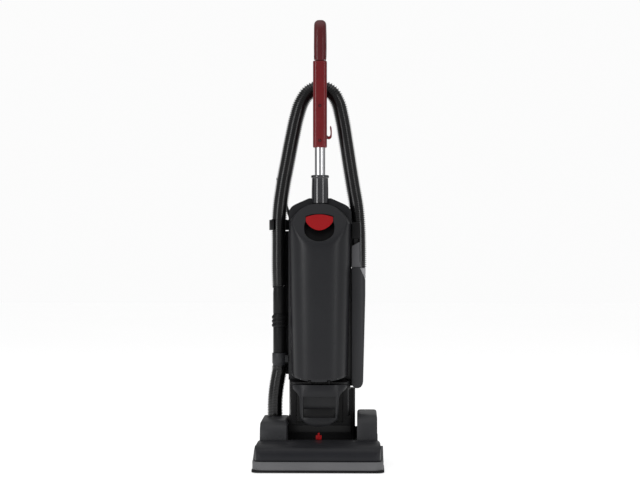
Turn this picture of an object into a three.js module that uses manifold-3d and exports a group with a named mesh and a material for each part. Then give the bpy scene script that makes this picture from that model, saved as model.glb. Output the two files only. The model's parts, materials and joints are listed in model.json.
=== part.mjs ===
// An upright vacuum cleaner of the kind that cleaning contractors use.
// Millimetres, +Z up, front towards -Y. The origin is on the floor under the middle of the base.
import * as THREE from 'three';
import { mergeVertices } from 'three/addons/utils/BufferGeometryUtils.js';
import Module from 'manifold-3d';

const wasm = await Module();
wasm.setup();

// Driving dimensions

const gap = 0.3; // between pieces that touch
const runningGap = 0.6; // between pieces that turn in each other
const wall = 3.5; // moulded shells
const roundSides = 20;

const base = {
  deckBack: -40, floor: 8.3, noseTop: 30, armTop: 40, armEnd: 160, bayFloor: 12,
  leftArmInner: -86, rightArmInner: 101, armOuter: 170,
};
const beyond = 220; // past the edge of any piece
const strip = { halfWidth: 172.5, front: -175, low: 2, high: 8, band: 8, corner: 22 };
const bumper = { halfWidth: 170.5, front: -173.5, low: 8.3, noseTop: 30, backTop: 58, band: 6.5, corner: 26 };
const hood = {
  halfWidth: 163.5, front: -166.5, low: 30.3, crest: 75, back: -70, deckLeft: -84, deckRight: 100, wall: 3,
  crestDepth: 12, noseTop: 44, planCorner: 18, faceCorner: 12, deckDrop: 2,
};
const mouth = { halfWidth: 146, front: -156, back: -92, barWidth: 3, barX: 52 };
const sole = { low: 4, high: 8, front: -165, back: -86 };
const brush = {
  y: -124, z: 31, core: 18, bristle: 28, halfLength: 134, pinEnd: 141, pin: 4, rows: 9, twist: 0.35,
  tuft: 5, endMargin: 4, bearing: 12,
};
const belt = { from: 114, to: 124, thickness: 2, brushPulley: 14, motorPulley: 7, slack: 0.5 };
const pod = {
  low: 40.3, front: -69.7, back: 150, wall: 3.5, corner: 10,
  faceTop: 80, brow: 58, browPull: 22, tailStart: 96, tailPull: 130, tailTop: 100, tailEnd: 66,
};
const leftPod = { left: -156, right: -85.5, top: 125 };
const rightPod = { left: 101.5, right: 155, top: 141 };
const ear = { thickness: 7, clear: 0.5, radius: 35 };
const bushSize = { outer: 31 };
const axle = { inner: 121 };
const boss = { rightEnd: 111.5 };
const rearWheel = {
  y: 140, radius: 35, x: 149, width: 18, bore: 5.4, pin: 5, rim: 9, dish: 3, hub: 4, wellTop: 77,
};
const roller = { y: -61, radius: 11, x: 60, width: 18, bore: 3.4, pin: 3, ear: 2, earGap: 3, earHalf: 5 };
const carriage = { halfWidth: 76, front: -79, back: -47, low: 18, high: 23, bayMargin: 4 };
const slider = {
  y: -60, halfWidth: 7.5, halfDepth: 6, low: 76, top: 93, travel: 45, stem: 2.5, foot: 62,
  fin: 2.5, finRise: 6, footRadius: 6, footHalf: 2,
};
const pedal = {
  y: 153, z: 49, from: -129, to: -96, tip: 174, hub: 6, pin: 3, bayFront: 146, bayLow: 29, earTop: 57,
  ear: 5, earHalf: 6, tread: 4,
};
const inlet = { x: -123, outer: 19.5, inner: 16.5, back: 85, top: 122, sides: 10, steps: 9 };

const uprightY = 80; // the handle's own plane, in front of the pivot
const pivot = { y: 25, z: 70, boss: 24 };

const body = { halfWidth: 86, front: -100, back: 86, low: 223, planSteps: 40 };
// Half of the body's plan: how far out it reaches at each distance from the handle's plane
const bodyPoints = [[48, -95], [74, -72], [84, -26], [86, 0], [80, 28], [72, 54], [52, 78]];
const lowerBody = {
  halfWidth: 83.5, front: -57, shelfFront: -79.5, low: 104, shelfLow: 217.5, top: 222.5, swing: 60, wall: 4,
  squareTop: 130, swingStart: 0.93,
};
const beltCover = { left: 80.5, right: 96, front: -22, back: 52, low: 62, high: 199, corner: 7 };
const motor = { radius: 46, from: -38, to: 58, shaft: 4, fan: 50, fanFrom: -68, fanTo: -46 };
const filter = { halfWidth: 62, front: -56, back: -34, low: 114, high: 212 };
const cover = { low: 104, high: 216, back: -57, halfTop: 78, halfLow: 51 };
const grab = { halfWidth: 43, low: 129, high: 184, depth: 20, tabHigh: 152, wall: 3 };
const rear = {
  front: -2, top: 719, topHalf: 30, floorTop: 232, rim: 12, rimBack: 10, wall: 4, bayRim: 9,
  shoulder: 704, shoulderHalf: 64, sideTop: 668, backTop: 640, ridge: 32,
  shoulderPull: { x: 78, side: 690, top: 698 }, backPull: 19, topPull: 62,
};
const hoseFin = { left: -98, right: -76, front: 28, back: 33, low: 236, high: 630 };
const holderFin = { left: 76, right: 96, front: 5, back: 10, low: 533, high: 650 };
const grille = { pitch: 28, halfBar: 9, front: 6, back: 56, low: 200, high: 240 };
const door = {
  low: 224, sideLow: 238, halfLow: 76, halfTop: 84, spring: 650, crown: 704, back: -6,
  crownFront: -38.5, bend: 599, bendDepth: 4, bendEnd: 585, inside: 20, lip: -94,
};
const doorPivot = {
  y: -87, z: 232, pin: 2.2, knuckleX: 40, knuckleHalf: 8, knuckle: 5.4, earX: 26, earHalf: 3, ear: 5,
  pinHalf: 50, notchHalf: 4.5, notchTop: 229.5,
};
const latch = { halfWidth: 36.2, low: 630.5, side: 652, shoulder: 666, high: 673.5, proud: 3, depth: 9 };
const pocket = { halfWidth: 39.5, low: 600.5, side: 622, shoulder: 669.5, high: 677, depth: 22, wall: 3, reach: 6 };
const bag = { halfWidth: 60, halfDepth: 46, low: 268, high: 622, y: 6, round: 22 };
const dock = { y: 30, z: 480, outer: 20, inner: 14, left: 60.6, right: 68.6 };

const duct = {
  inner: 87, outer: 124, low: 202, top: 531, front: -26, back: 50, round: 12, bore: 16, boreLow: 402,
  shoulder: 497, toe: 14, heel: 18, heelIn: 6,
};
const ductFlange = { left: 80, front: 42, low: 203, high: 527 };
const holder = { inner: 86.8, outer: 108.5, low: 531.4, front: -25, back: 3, sideTop: 588, outerTop: 600 };
const rail = { left: 109.7, right: 112.3, front: -22, back: -8, foot: 545, top: 652 };
const tool = {
  x: 98, y: -11, low: 418, neck: 610, top: 653, halfWidth: 6, headHalf: 11, halfDepth: 7.5, slack: 1.5,
};
const rightEnd = { x: 105.8, y: 31, z: 500, ring: 19, bore: 16, height: 28.6 };

const column = { x: -111, y: 5 };
const port = {
  low: 262, high: 296, radius: 20, bore: 15.6, lip: 1.5, lipTop: 4, armHalf: 12, armLow: 271, armHigh: 290,
};
const tube = { high: 404, radius: 17.4, bore: 14.5 };
const collar = { low: 367, high: 400, radius: 21, ribs: 3, valley: 2, land: 3 };
const cuff = { low: 404.4, high: 479, radius: 17.5, bore: 14.5, band: 4, bandRise: 1.5 };
const clip = {
  x: -110.5, y: 4.5, low: 632, high: 660, outer: 28.5, inner: 24.2, mouthLeft: -126, mouthRight: -95,
};
const hookRoute = [[-66, 84, 612], [-80, 76, 655], [-98, 62, 706], [-112, 50, 748], [-118, 44, 777]];
const hookRod = { radius: 4.5, sides: 10, steps: 12 };
const hose = { radius: 21.5, steps: 52, sides: 10 };
const lowerHose = { radius: 21.5, bore: 17.5, steps: 8 };

const socket = { low: 705, high: 782, radius: 23, rim: 25, taper: 744, rimDrop: 8 };
const stem = { low: 716, high: 1040, radius: 14.25, gap: 0.4, wall: 1.5 };
const sleeve = { low: 857, high: 1094, halfWidth: 19, halfDepth: 18, round: 11 };
const loop = { halfWidth: 16.5, top: 1210, round: 8 };
// The loop handle and its hand opening from the side, in Y and Z
const loopOutline = [
  [-18, 1094.4], [-20, 1152, -16, 1210, 26, 1210], [66, 1210, 92, 1174, 91, 1136],
  [90, 1106, 74, 1094.4, 52, 1094.4],
];
const handOutline = [
  [7, 1121], [6, 1160, 12, 1180, 30, 1180], [52, 1180, 66, 1160, 65, 1140], [64, 1124, 58, 1120, 48, 1120],
];
const screwHeights = { upper: 971, lower: 876 };
const screw = { head: 4, shank: 2, depth: 3, headHeight: 2.6, tip: -9, sides: 12 };
const hook = { x: 19.3, halfDepth: 6 };
// The J hook in X and Z, measured from its root on the sleeve
const hookPoints = [
  [0, 881], [6, 880], [12, 885], [13, 893], [11, 916], [8, 915], [9, 894], [6, 888], [0, 891],
];
const saddle = { halfWidth: 12, front: 965, back: 75, low: 985, high: 997.5, lip: 1013, rise: 8, lean: 14 };
const rocker = { halfWidth: 6, z: 1068, halfLength: 11, sink: 6, wellDepth: 9 };
const cleat = {
  halfWidth: 16, points: [[0, 300], [3, 300], [8, 280], [8, 262], [5, 262], [5, 278], [0, 286]],
};
const gland = { radius: 8, length: 7, z: 560 };

// The stretch hose leaves the cuff on the left, passes behind the handle and goes down into the duct
const hoseRoute = [
  [-111, 5, 479.4], [-112, 4, 530], [-112, 3, 590], [-111, 5, 676], [-102, 12, 750], [-89, 22, 823],
  [-75.5, 32, 895], [-64, 38, 947], [-50, 43, 988], [-28, 46, 1016], [0, 47, 1024.5], [28, 47, 1015],
  [47, 47, 987], [58.5, 47, 946], [70, 46, 880], [80, 45, 815], [90.5, 44, 750], [99, 43, 700],
  [104, 38, 640], [105.6, 33, 590], [105.8, 31, 560], [105.8, 31, 528.9],
];
const lowerHoseRoute = [
  [-123, 5, 122.4], [-123, 5, 160], [-120, 5, 196], [-114.5, 5, 230], [-111.2, 5, 250], [-111, 5, 261.6],
];

// Finishes

function finish(color, roughness, metalness) {
  return new THREE.MeshStandardMaterial({ color, roughness, metalness: metalness ?? 0 });
}

const blackPlastic = finish(0x1d1d20, 0.55);
const satinPlastic = finish(0x3a3a3e, 0.38);
const greyPlastic = finish(0x6c6c72, 0.5);
const slatePlastic = finish(0x3c3e46, 0.5);
const redPlastic = finish(0x8c1e23, 0.35);
const gripPlastic = finish(0x5f2023, 0.45);
const bumperRubber = finish(0x6c6c70, 0.7);
const blackRubber = finish(0x17171a, 0.75);
const hosePlastic = finish(0x151517, 0.4);
const chromeTube = finish(0xc8c8cc, 0.15, 1);
const steel = finish(0x9a9aa0, 0.35, 1);
const aluminium = finish(0xa9abb0, 0.4, 1);
const paperFelt = finish(0xd8d3c4, 0.9);
const brushWood = finish(0x9c6b3c, 0.7);

// Solids

function solidOf(geometry) {
  geometry.deleteAttribute('normal');
  geometry.deleteAttribute('uv');
  const merged = mergeVertices(geometry, 1e-4);
  const vertProperties = merged.attributes.position.array;
  const triVerts = Uint32Array.from(merged.index.array);
  return new wasm.Manifold(new wasm.Mesh({ numProp: 3, vertProperties, triVerts }));
}

function geometryOf(solid) {
  const mesh = solid.getMesh();
  const geometry = new THREE.BufferGeometry();
  geometry.setAttribute('position', new THREE.BufferAttribute(mesh.vertProperties, 3));
  geometry.setIndex(new THREE.BufferAttribute(mesh.triVerts, 1));
  const faceted = geometry.toNonIndexed();
  faceted.computeVertexNormals();
  return faceted;
}

function join(first, ...others) {
  return others.reduce((whole, other) => whole.add(other), first);
}

function cut(first, ...tools) {
  return tools.reduce((rest, toolSolid) => rest.subtract(toolSolid), first);
}

function outline(points) {
  return new THREE.Shape(points.map(([u, v]) => new THREE.Vector2(u, v)));
}

function roundedOutline(left, low, right, high, radius) {
  const shape = new THREE.Shape();
  const quarter = Math.PI / 2;
  shape.absarc(right - radius, high - radius, radius, 0, quarter);
  shape.absarc(left + radius, high - radius, radius, quarter, 2 * quarter);
  shape.absarc(left + radius, low + radius, radius, 2 * quarter, 3 * quarter);
  shape.absarc(right - radius, low + radius, radius, 3 * quarter, 4 * quarter);
  return shape;
}

function extruded(shape, depth, curveSegments = 5) {
  return new THREE.ExtrudeGeometry(shape, { depth, bevelEnabled: false, curveSegments });
}

// A shape drawn in X and Y, raised along Z
function alongZ(shape, low, high, curveSegments) {
  return solidOf(extruded(shape, high - low, curveSegments).translate(0, 0, low));
}

// A shape drawn in Y and Z, drawn out along X
function alongX(shape, left, right, curveSegments) {
  const turn = new THREE.Matrix4().makeBasis(
    new THREE.Vector3(0, 1, 0), new THREE.Vector3(0, 0, 1), new THREE.Vector3(1, 0, 0),
  );
  return solidOf(extruded(shape, right - left, curveSegments).applyMatrix4(turn).translate(left, 0, 0));
}

// A shape drawn in X and Z, drawn out along Y
function alongY(shape, front, back, curveSegments) {
  const turn = new THREE.Matrix4().makeBasis(
    new THREE.Vector3(1, 0, 0), new THREE.Vector3(0, 0, 1), new THREE.Vector3(0, -1, 0),
  );
  return solidOf(extruded(shape, back - front, curveSegments).applyMatrix4(turn).translate(0, back, 0));
}

function block(left, right, front, back, low, high) {
  const geometry = new THREE.BoxGeometry(right - left, back - front, high - low);
  return solidOf(geometry.translate((left + right) / 2, (front + back) / 2, (low + high) / 2));
}

function rodX(radius, left, right, y, z, sides = roundSides) {
  const geometry = new THREE.CylinderGeometry(radius, radius, right - left, sides).rotateZ(Math.PI / 2);
  return solidOf(geometry.translate((left + right) / 2, y, z));
}

function rodY(radius, front, back, x, z, sides = roundSides) {
  const geometry = new THREE.CylinderGeometry(radius, radius, back - front, sides);
  return solidOf(geometry.translate(x, (front + back) / 2, z));
}

function rodZ(radius, low, high, x, y, sides = roundSides) {
  const geometry = new THREE.CylinderGeometry(radius, radius, high - low, sides).rotateX(Math.PI / 2);
  return solidOf(geometry.translate(x, y, (low + high) / 2));
}

// A profile of [radius, height] pairs turned about a vertical line
function turnedZ(profile, x, y, sides = roundSides) {
  const points = profile.map(([radius, height]) => new THREE.Vector2(radius, height));
  return solidOf(new THREE.LatheGeometry(points, sides).rotateX(Math.PI / 2).translate(x, y, 0));
}

function swept(route, shape, steps) {
  const path = new THREE.CatmullRomCurve3(route.map((point) => new THREE.Vector3(...point)));
  return solidOf(new THREE.ExtrudeGeometry(shape, { steps, extrudePath: path, bevelEnabled: false }));
}

function ringShape(outer, inner, sides) {
  const circle = (radius) => Array.from({ length: sides }, (unused, index) => {
    const angle = (2 * Math.PI * index) / sides;
    return new THREE.Vector2(radius * Math.cos(angle), radius * Math.sin(angle));
  });
  const shape = new THREE.Shape(circle(outer));
  if (inner > 0) shape.holes.push(new THREE.Path(circle(inner)));
  return shape;
}

// Scene graph

const cleaner = new THREE.Group();
const baseGroup = new THREE.Group();
const uprightGroup = new THREE.Group();
uprightGroup.position.y = uprightY;
cleaner.add(baseGroup, uprightGroup);

function place(name, solid, material, group) {
  const mesh = new THREE.Mesh(geometryOf(solid), material);
  mesh.name = name;
  group.add(mesh);
}

function addToBase(name, solid, material) {
  place(name, solid, material, baseGroup);
}

function addToUpright(name, solid, material) {
  place(name, solid, material, uprightGroup);
}

// Base: frame, sole, bumper and floor strip

function frontBand(size, back) {
  return roundedOutline(-size.halfWidth, size.front, size.halfWidth, back + size.corner * 2, size.corner);
}

function bandAround(size, low, high) {
  const inner = {
    halfWidth: size.halfWidth - size.band, front: size.front + size.band, corner: size.corner - size.band,
  };
  const whole = alongZ(frontBand(size, base.deckBack), low, high);
  const hollow = alongZ(frontBand(inner, base.deckBack), low - 1, high + 1);
  const behind = block(-200, 200, base.deckBack, 100, low - 1, high + 1);
  return cut(whole, hollow, behind);
}

function makeFloorStrip() {
  addToBase('floor_strip', bandAround(strip, strip.low, strip.high), blackRubber);
}

function makeBumper() {
  const band = bandAround(bumper, bumper.low, bumper.backTop);
  const side = outline([
    [bumper.front - 1, bumper.low - 1], [base.deckBack + 1, bumper.low - 1],
    [base.deckBack + 1, bumper.backTop], [-78, 50], [-120, 33], [-150, bumper.noseTop],
    [bumper.front - 1, bumper.noseTop],
  ]);
  addToBase('bumper', band.intersect(alongX(side, -200, 200)), bumperRubber);
}

function wheelWell(side) {
  const inner = side * (rearWheel.x - rearWheel.width / 2 - 2);
  const outer = side * (rearWheel.x + 2 * rearWheel.width);
  const front = rearWheel.y - rearWheel.radius - 4;
  return block(Math.min(inner, outer), Math.max(inner, outer), front, front + beyond, -1, rearWheel.wellTop);
}

// The outline round both pulleys, in Y and Z, grown by a margin
function beltOutline(margin) {
  const far = new THREE.Vector2(uprightY + pivot.y, pivot.z);
  const near = new THREE.Vector2(brush.y, brush.z);
  const along = Math.atan2(far.y - near.y, far.x - near.x);
  const tilt = Math.acos((belt.brushPulley - belt.motorPulley) / near.distanceTo(far));
  const shape = new THREE.Shape();
  shape.absarc(far.x, far.y, belt.motorPulley + margin, along - tilt, along + tilt);
  shape.absarc(near.x, near.y, belt.brushPulley + margin, along + tilt, along - tilt + 2 * Math.PI);
  return shape;
}

function beltSpace() {
  return alongX(beltOutline(7), belt.from - 3, belt.to + 3, 6);
}

function pivotEar(left, right) {
  const y = uprightY + pivot.y;
  const disc = rodX(ear.radius, left, right, y, pivot.z);
  const foot = block(left, right, y - ear.radius, y + ear.radius, base.floor + 5, pivot.z);
  return join(disc, foot);
}

function makeBaseFrame() {
  const inset = bumper.band + gap;
  const nose = {
    halfWidth: bumper.halfWidth - inset, front: bumper.front + inset, corner: bumper.corner - inset,
  };
  const behindNose = block(-beyond, beyond, base.deckBack, beyond, 0, pivot.z);
  const front = cut(alongZ(frontBand(nose, base.deckBack), base.floor, base.noseTop), behindNose);
  const leftArm = block(
    -base.armOuter, base.leftArmInner, base.deckBack - 1, base.armEnd, base.floor, base.armTop,
  ).subtract(block(-beyond, -nose.halfWidth, -beyond, base.deckBack + gap, 0, pivot.z));
  const rightArm = block(
    base.rightArmInner, base.armOuter, base.deckBack - 1, base.armEnd, base.floor, base.armTop,
  ).subtract(block(nose.halfWidth, beyond, -beyond, base.deckBack + gap, 0, pivot.z));
  const earLeft = leftPod.right - pod.wall - ear.clear;
  const earRight = rightPod.left + pod.wall + ear.clear;
  const pedalEars = join(
    block(
      pedal.from - 1 - pedal.ear, pedal.from - 1, pedal.y - pedal.earHalf, pedal.y + pedal.earHalf,
      base.floor + 1, pedal.earTop,
    ),
    block(
      pedal.to + 1, base.leftArmInner, pedal.y - pedal.earHalf, pedal.y + pedal.earHalf,
      base.floor + 1, pedal.earTop,
    ),
  );
  const pedalBay = block(pedal.from - 1, pedal.to + 1, pedal.bayFront, beyond, pedal.bayLow, pivot.z);
  const whole = join(
    front, leftArm, rightArm, pedalEars,
    pivotEar(earLeft - ear.thickness, earLeft), pivotEar(earRight, earRight + ear.thickness),
  );
  const bay = carriage.bayMargin;
  const solid = cut(
    whole,
    block(-mouth.halfWidth, mouth.halfWidth, mouth.front, mouth.back, 0, pivot.z),
    block(
      -carriage.halfWidth - bay, carriage.halfWidth + bay, carriage.front - 5, carriage.back + 3, 0, pivot.z,
    ),
    block(
      inlet.x - inlet.outer - 1, inlet.x + inlet.outer + 1, mouth.back - 1, inlet.back + 24,
      base.bayFloor, beyond,
    ),
    pedalBay, wheelWell(-1), wheelWell(1), beltSpace(),
    rodX(bushSize.outer + gap, -beyond, beyond, uprightY + pivot.y, pivot.z),
    rodX(pedal.pin + runningGap, pedal.from - 20, pedal.to + 20, pedal.y, pedal.z),
  );
  const axleEnd = rearWheel.x + rearWheel.width / 2 + 1;
  const axles = join(
    rodX(rearWheel.pin, -axleEnd, -axle.inner, rearWheel.y, rearWheel.radius),
    rodX(rearWheel.pin, axle.inner, axleEnd, rearWheel.y, rearWheel.radius),
  );
  addToBase('base_frame', join(solid, axles), blackPlastic);
}

function makeSolePlate() {
  const half = bumper.halfWidth - bumper.band - 1;
  const plate = alongZ(roundedOutline(-half, sole.front, half, sole.back, 14), sole.low, sole.high);
  const window = block(-mouth.halfWidth, mouth.halfWidth, mouth.front, mouth.back, 0, 20);
  const bars = [-1, 1].map((side) => block(
    side * mouth.barX - mouth.barWidth / 2, side * mouth.barX + mouth.barWidth / 2,
    mouth.front - 1, mouth.back + 1, sole.low, sole.low + 1.6,
  ));
  const brushRoom = rodX(brush.bristle + 1, -mouth.halfWidth, mouth.halfWidth, brush.y, brush.z);
  addToBase('sole_plate', join(cut(plate, window), ...bars).subtract(brushRoom.intersect(window)), steel);
}

// Base: hood and side pods

function hoodProfile(inset) {
  const low = hood.low - (inset > 0 ? 1 : 0);
  const front = hood.front + inset;
  const top = hood.crest - inset;
  const shape = new THREE.Shape();
  shape.moveTo(base.deckBack + 1, low);
  shape.lineTo(base.deckBack + 1, top - hood.deckDrop);
  shape.lineTo(hood.back, top);
  shape.lineTo(hood.back - hood.crestDepth, top);
  shape.bezierCurveTo(-130, top - 1, front + 1, top - 8, front, hood.noseTop);
  shape.lineTo(front, low);
  return shape;
}

function hoodBody(inset) {
  const half = hood.halfWidth - inset;
  const plan = join(
    alongZ(
      roundedOutline(
        -half, hood.front + inset, half, hood.back + (inset > 0 ? gap : 0), hood.planCorner - inset,
      ),
      0, beyond,
    ),
    block(hood.deckLeft + inset, hood.deckRight - inset, hood.back - 22, base.deckBack - inset, 0, beyond),
  );
  const squareBack = block(-half, half, hood.back - 30, hood.back, 0, beyond);
  const faceOutline = roundedOutline(-half, 0, half, hood.crest + 1 - inset, hood.faceCorner);
  const face = alongY(faceOutline, -beyond, beyond);
  return join(plan, squareBack).intersect(alongX(hoodProfile(inset), -beyond, beyond, 8)).intersect(face);
}

function makeHood() {
  const slot = block(
    -slider.travel - 4, slider.travel + 4, slider.y - slider.stem - 1, slider.y + slider.stem + 1,
    slider.foot - 2, beyond,
  );
  const openBack = (left, right) => block(left, right, hood.back - 20, hood.back + 1, 0, hood.crest - 7);
  const openLeft = openBack(-hood.halfWidth + hood.wall, hood.deckLeft - 1);
  const openRight = openBack(hood.deckRight + 1, hood.halfWidth - hood.wall);
  addToBase('hood', cut(hoodBody(0), hoodBody(hood.wall), slot, openLeft, openRight), satinPlastic);
}

function podProfile(size, inset) {
  const top = size.top - inset;
  const front = pod.front + inset;
  const low = pod.low - (inset > 0 ? 1 : 0);
  const shape = new THREE.Shape();
  shape.moveTo(front, low);
  shape.lineTo(front, pod.faceTop);
  shape.bezierCurveTo(front + 4, top - 14, front + pod.browPull, top, front + pod.brow, top);
  shape.lineTo(pod.tailStart, top);
  shape.bezierCurveTo(
    pod.tailPull - inset, top, pod.back - inset, pod.tailTop, pod.back - inset, pod.tailEnd,
  );
  shape.lineTo(pod.back - inset, low);
  return shape;
}

function podShell(size, outerSide) {
  const face = (inset) => alongY(
    roundedOutline(size.left + inset, -beyond, size.right - inset, size.top - inset, pod.corner - inset),
    -beyond, beyond,
  );
  const outside = alongX(podProfile(size, 0), size.left, size.right, 6).intersect(face(0));
  const inside = alongX(podProfile(size, pod.wall), size.left + pod.wall, size.right - pod.wall, 6);
  const bushLeft = outerSide < 0 ? size.left + pod.wall + 1 : size.left - 20;
  const bushRight = outerSide < 0 ? size.right + 20 : size.right - pod.wall - 1;
  const bush = rodX(bushSize.outer + gap, bushLeft, bushRight, uprightY + pivot.y, pivot.z);
  return cut(outside, inside, bush, wheelWell(outerSide));
}

function makePods() {
  const hoseHole = rodZ(lowerHose.radius + 1.5, 100, beyond, inlet.x, inlet.back);
  const pedalSlot = block(pedal.from - 8, leftPod.right + 1, pedal.bayFront - 2, beyond, 0, pedal.earTop + 5);
  const ductHalf = inlet.outer + 1.5;
  const ductGap = block(inlet.x - ductHalf, inlet.x + ductHalf, pod.front - 20, pod.front + 10, 0, 62);
  const left = cut(podShell(leftPod, -1), hoseHole, pedalSlot, ductGap);
  addToBase('left_housing', left, slatePlastic);
  addToBase('right_housing', cut(podShell(rightPod, 1), beltSpace()), greyPlastic);
}

function makeSuctionDuct() {
  const route = [
    [inlet.x, mouth.back + 1, 33.5], [inlet.x, -40, 33.5], [inlet.x, 20, 36],
    [inlet.x, 66, 52], [inlet.x, inlet.back, 84], [inlet.x, inlet.back, inlet.top],
  ];
  const section = ringShape(inlet.outer, inlet.inner, inlet.sides);
  addToBase('suction_duct', swept(route, section, inlet.steps), blackPlastic);
}

// Base: pivot bushes, pedal, wheels, rollers and the height slider

function makePivotBushes() {
  const y = uprightY + pivot.y;
  const ring = (left, right) => cut(
    rodX(bushSize.outer, left, right, y, pivot.z),
    rodX(pivot.boss + runningGap, left - 1, right + 1, y, pivot.z),
  );
  const length = pod.wall + ear.clear + ear.thickness;
  addToBase('pivot_bush_left', ring(leftPod.right - length, leftPod.right), steel);
  addToBase('pivot_bush_right', ring(rightPod.left, rightPod.left + length), steel);
}

function makePedal() {
  const hub = rodX(pedal.hub, pedal.from, pedal.to, pedal.y, pedal.z);
  const pin = rodX(pedal.pin, pedal.from - 5.5, pedal.to + 5.5, pedal.y, pedal.z);
  const treadOutline = outline([
    [pedal.y, pedal.z + 5], [pedal.y, pedal.z + 0.5], [pedal.tip, pedal.z + 3], [pedal.tip, pedal.z + 7],
    [pedal.tip - pedal.tread, pedal.z + 8.5],
  ]);
  const tread = alongX(treadOutline, pedal.from, pedal.to);
  addToBase('release_pedal', join(hub, pin, tread), greyPlastic);
}

function makeWheels() {
  for (const [side, word] of [[-1, 'left'], [1, 'right']]) {
    const near = side * rearWheel.x - rearWheel.width / 2;
    const far = near + rearWheel.width;
    const inRim = rearWheel.radius - rearWheel.rim;
    const tread = rodX(rearWheel.radius, near, far, rearWheel.y, rearWheel.radius, 28);
    const dish = rodX(inRim, near - 1, near + rearWheel.dish, rearWheel.y, rearWheel.radius);
    const farDish = rodX(inRim, far - rearWheel.dish, far + 1, rearWheel.y, rearWheel.radius);
    const hub = rodX(rearWheel.bore + rearWheel.hub, near, far, rearWheel.y, rearWheel.radius);
    const bore = rodX(rearWheel.bore, near - 1, far + 1, rearWheel.y, rearWheel.radius);
    const wheel = cut(join(cut(tread, dish, farDish), hub), bore);
    addToBase(`rear_wheel_${word}`, wheel, blackRubber);
  }
}

function makeRollers() {
  const plate = block(
    -carriage.halfWidth, carriage.halfWidth, carriage.front, carriage.back, carriage.low, carriage.high,
  );
  const room = (side) => block(
    side * roller.x - roller.width / 2 - 1, side * roller.x + roller.width / 2 + 1,
    roller.y - roller.radius - 1, roller.y + roller.radius + 1, 0, roller.radius * 2 + 1,
  );
  const ears = [];
  for (const side of [-1, 1]) {
    for (const end of [-1, 1]) {
      const middle = side * roller.x + end * (roller.width / 2 + roller.earGap);
      ears.push(block(
        middle - roller.ear, middle + roller.ear, roller.y - roller.earHalf, roller.y + roller.earHalf,
        roller.radius - 4, carriage.high,
      ));
    }
  }
  const pins = [-1, 1].map((side) => rodX(
    roller.pin, side * roller.x - roller.width / 2 - 2, side * roller.x + roller.width / 2 + 2,
    roller.y, roller.radius, 12,
  ));
  addToBase('roller_carriage', join(cut(plate, room(-1), room(1)), ...ears, ...pins), steel);
  for (const [side, word] of [[-1, 'left'], [1, 'right']]) {
    const left = side * roller.x - roller.width / 2;
    const drum = rodX(roller.radius, left, left + roller.width, roller.y, roller.radius);
    const bore = rodX(roller.bore, left - 1, left + roller.width + 1, roller.y, roller.radius, 12);
    addToBase(`front_roller_${word}`, cut(drum, bore), blackRubber);
  }
}

function makeHeightSlider() {
  const knob = block(
    -slider.halfWidth, slider.halfWidth, slider.y - slider.halfDepth, slider.y + slider.halfDepth,
    slider.low, slider.top - slider.finRise,
  );
  const finDepth = slider.halfDepth - 1;
  const fin = block(
    -slider.fin, slider.fin, slider.y - finDepth, slider.y + finDepth, slider.low, slider.top,
  );
  const post = rodZ(slider.stem, slider.foot, slider.low + 1, 0, slider.y, 12);
  const footLow = slider.foot - slider.footHalf;
  const foot = rodZ(slider.footRadius, footLow, slider.foot + slider.footHalf, 0, slider.y, 12);
  addToBase('height_slider', join(knob, fin, post, foot), redPlastic);
}

// Base: brush roll and belt

function makeBrushRoll() {
  const core = rodX(brush.core, -brush.halfLength, brush.halfLength, brush.y, brush.z);
  const groove = cut(
    rodX(brush.bristle + 4, belt.from - 2, belt.to + 2, brush.y, brush.z),
    rodX(belt.brushPulley, belt.from - 3, belt.to + 3, brush.y, brush.z),
  );
  const pin = rodX(brush.pin, -brush.pinEnd, brush.pinEnd, brush.y, brush.z, 12);
  const tufts = [];
  const first = -brush.halfLength + brush.endMargin;
  const pitch = (belt.from - 6 - first) / brush.rows;
  for (const half of [0, 1]) {
    for (let row = 0; row < brush.rows; row += 1) {
      const lean = Math.abs(row + 0.5 - brush.rows / 2) * brush.twist + half * Math.PI;
      const geometry = new THREE.BoxGeometry(pitch + 0.4, brush.tuft, brush.bristle - 1);
      geometry.translate(first + (row + 0.5) * pitch, 0, brush.bristle / 2).rotateX(lean);
      tufts.push(solidOf(geometry.translate(0, brush.y, brush.z)));
    }
  }
  addToBase('brush_roll', join(cut(core, groove), pin, ...tufts), brushWood);
  for (const [side, word] of [[-1, 'left'], [1, 'right']]) {
    const near = side * (brush.halfLength + 1.5);
    const far = side * (mouth.halfWidth - gap);
    const shell = block(
      Math.min(near, far), Math.max(near, far), brush.y - brush.bearing, brush.y + brush.bearing,
      brush.z - brush.bearing, brush.z + brush.bearing,
    );
    const bore = rodX(brush.pin + runningGap, -beyond, beyond, brush.y, brush.z, 12);
    addToBase(`brush_bearing_${word}`, cut(shell, bore), blackPlastic);
  }
}

function makeBelt() {
  const band = cut(
    alongX(beltOutline(belt.slack + belt.thickness), belt.from + 1, belt.to - 1, 8),
    alongX(beltOutline(belt.slack), belt.from - 1, belt.to + 1, 8),
  );
  addToBase('drive_belt', band, blackRubber);
}

// Upright: the plan of the body, seen from above, shrunk by an inset

function bodyPlan(inset) {
  const right = [[0, body.front], ...bodyPoints, [0, body.back]];
  const left = bodyPoints.map(([x, y]) => [-x, y]).reverse();
  const middle = (body.front + body.back) / 2;
  const shrinkX = (body.halfWidth - inset) / body.halfWidth;
  const shrinkY = ((body.back - body.front) / 2 - inset) / ((body.back - body.front) / 2);
  const ring = [...right, ...left].map(
    ([x, y]) => new THREE.Vector3(x * shrinkX, middle + (y - middle) * shrinkY, 0),
  );
  const curve = new THREE.CatmullRomCurve3(ring, true);
  const ringPoints = curve.getPoints(body.planSteps).slice(0, body.planSteps);
  return new THREE.Shape(ringPoints.map((point) => new THREE.Vector2(point.x, point.y)));
}

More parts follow.
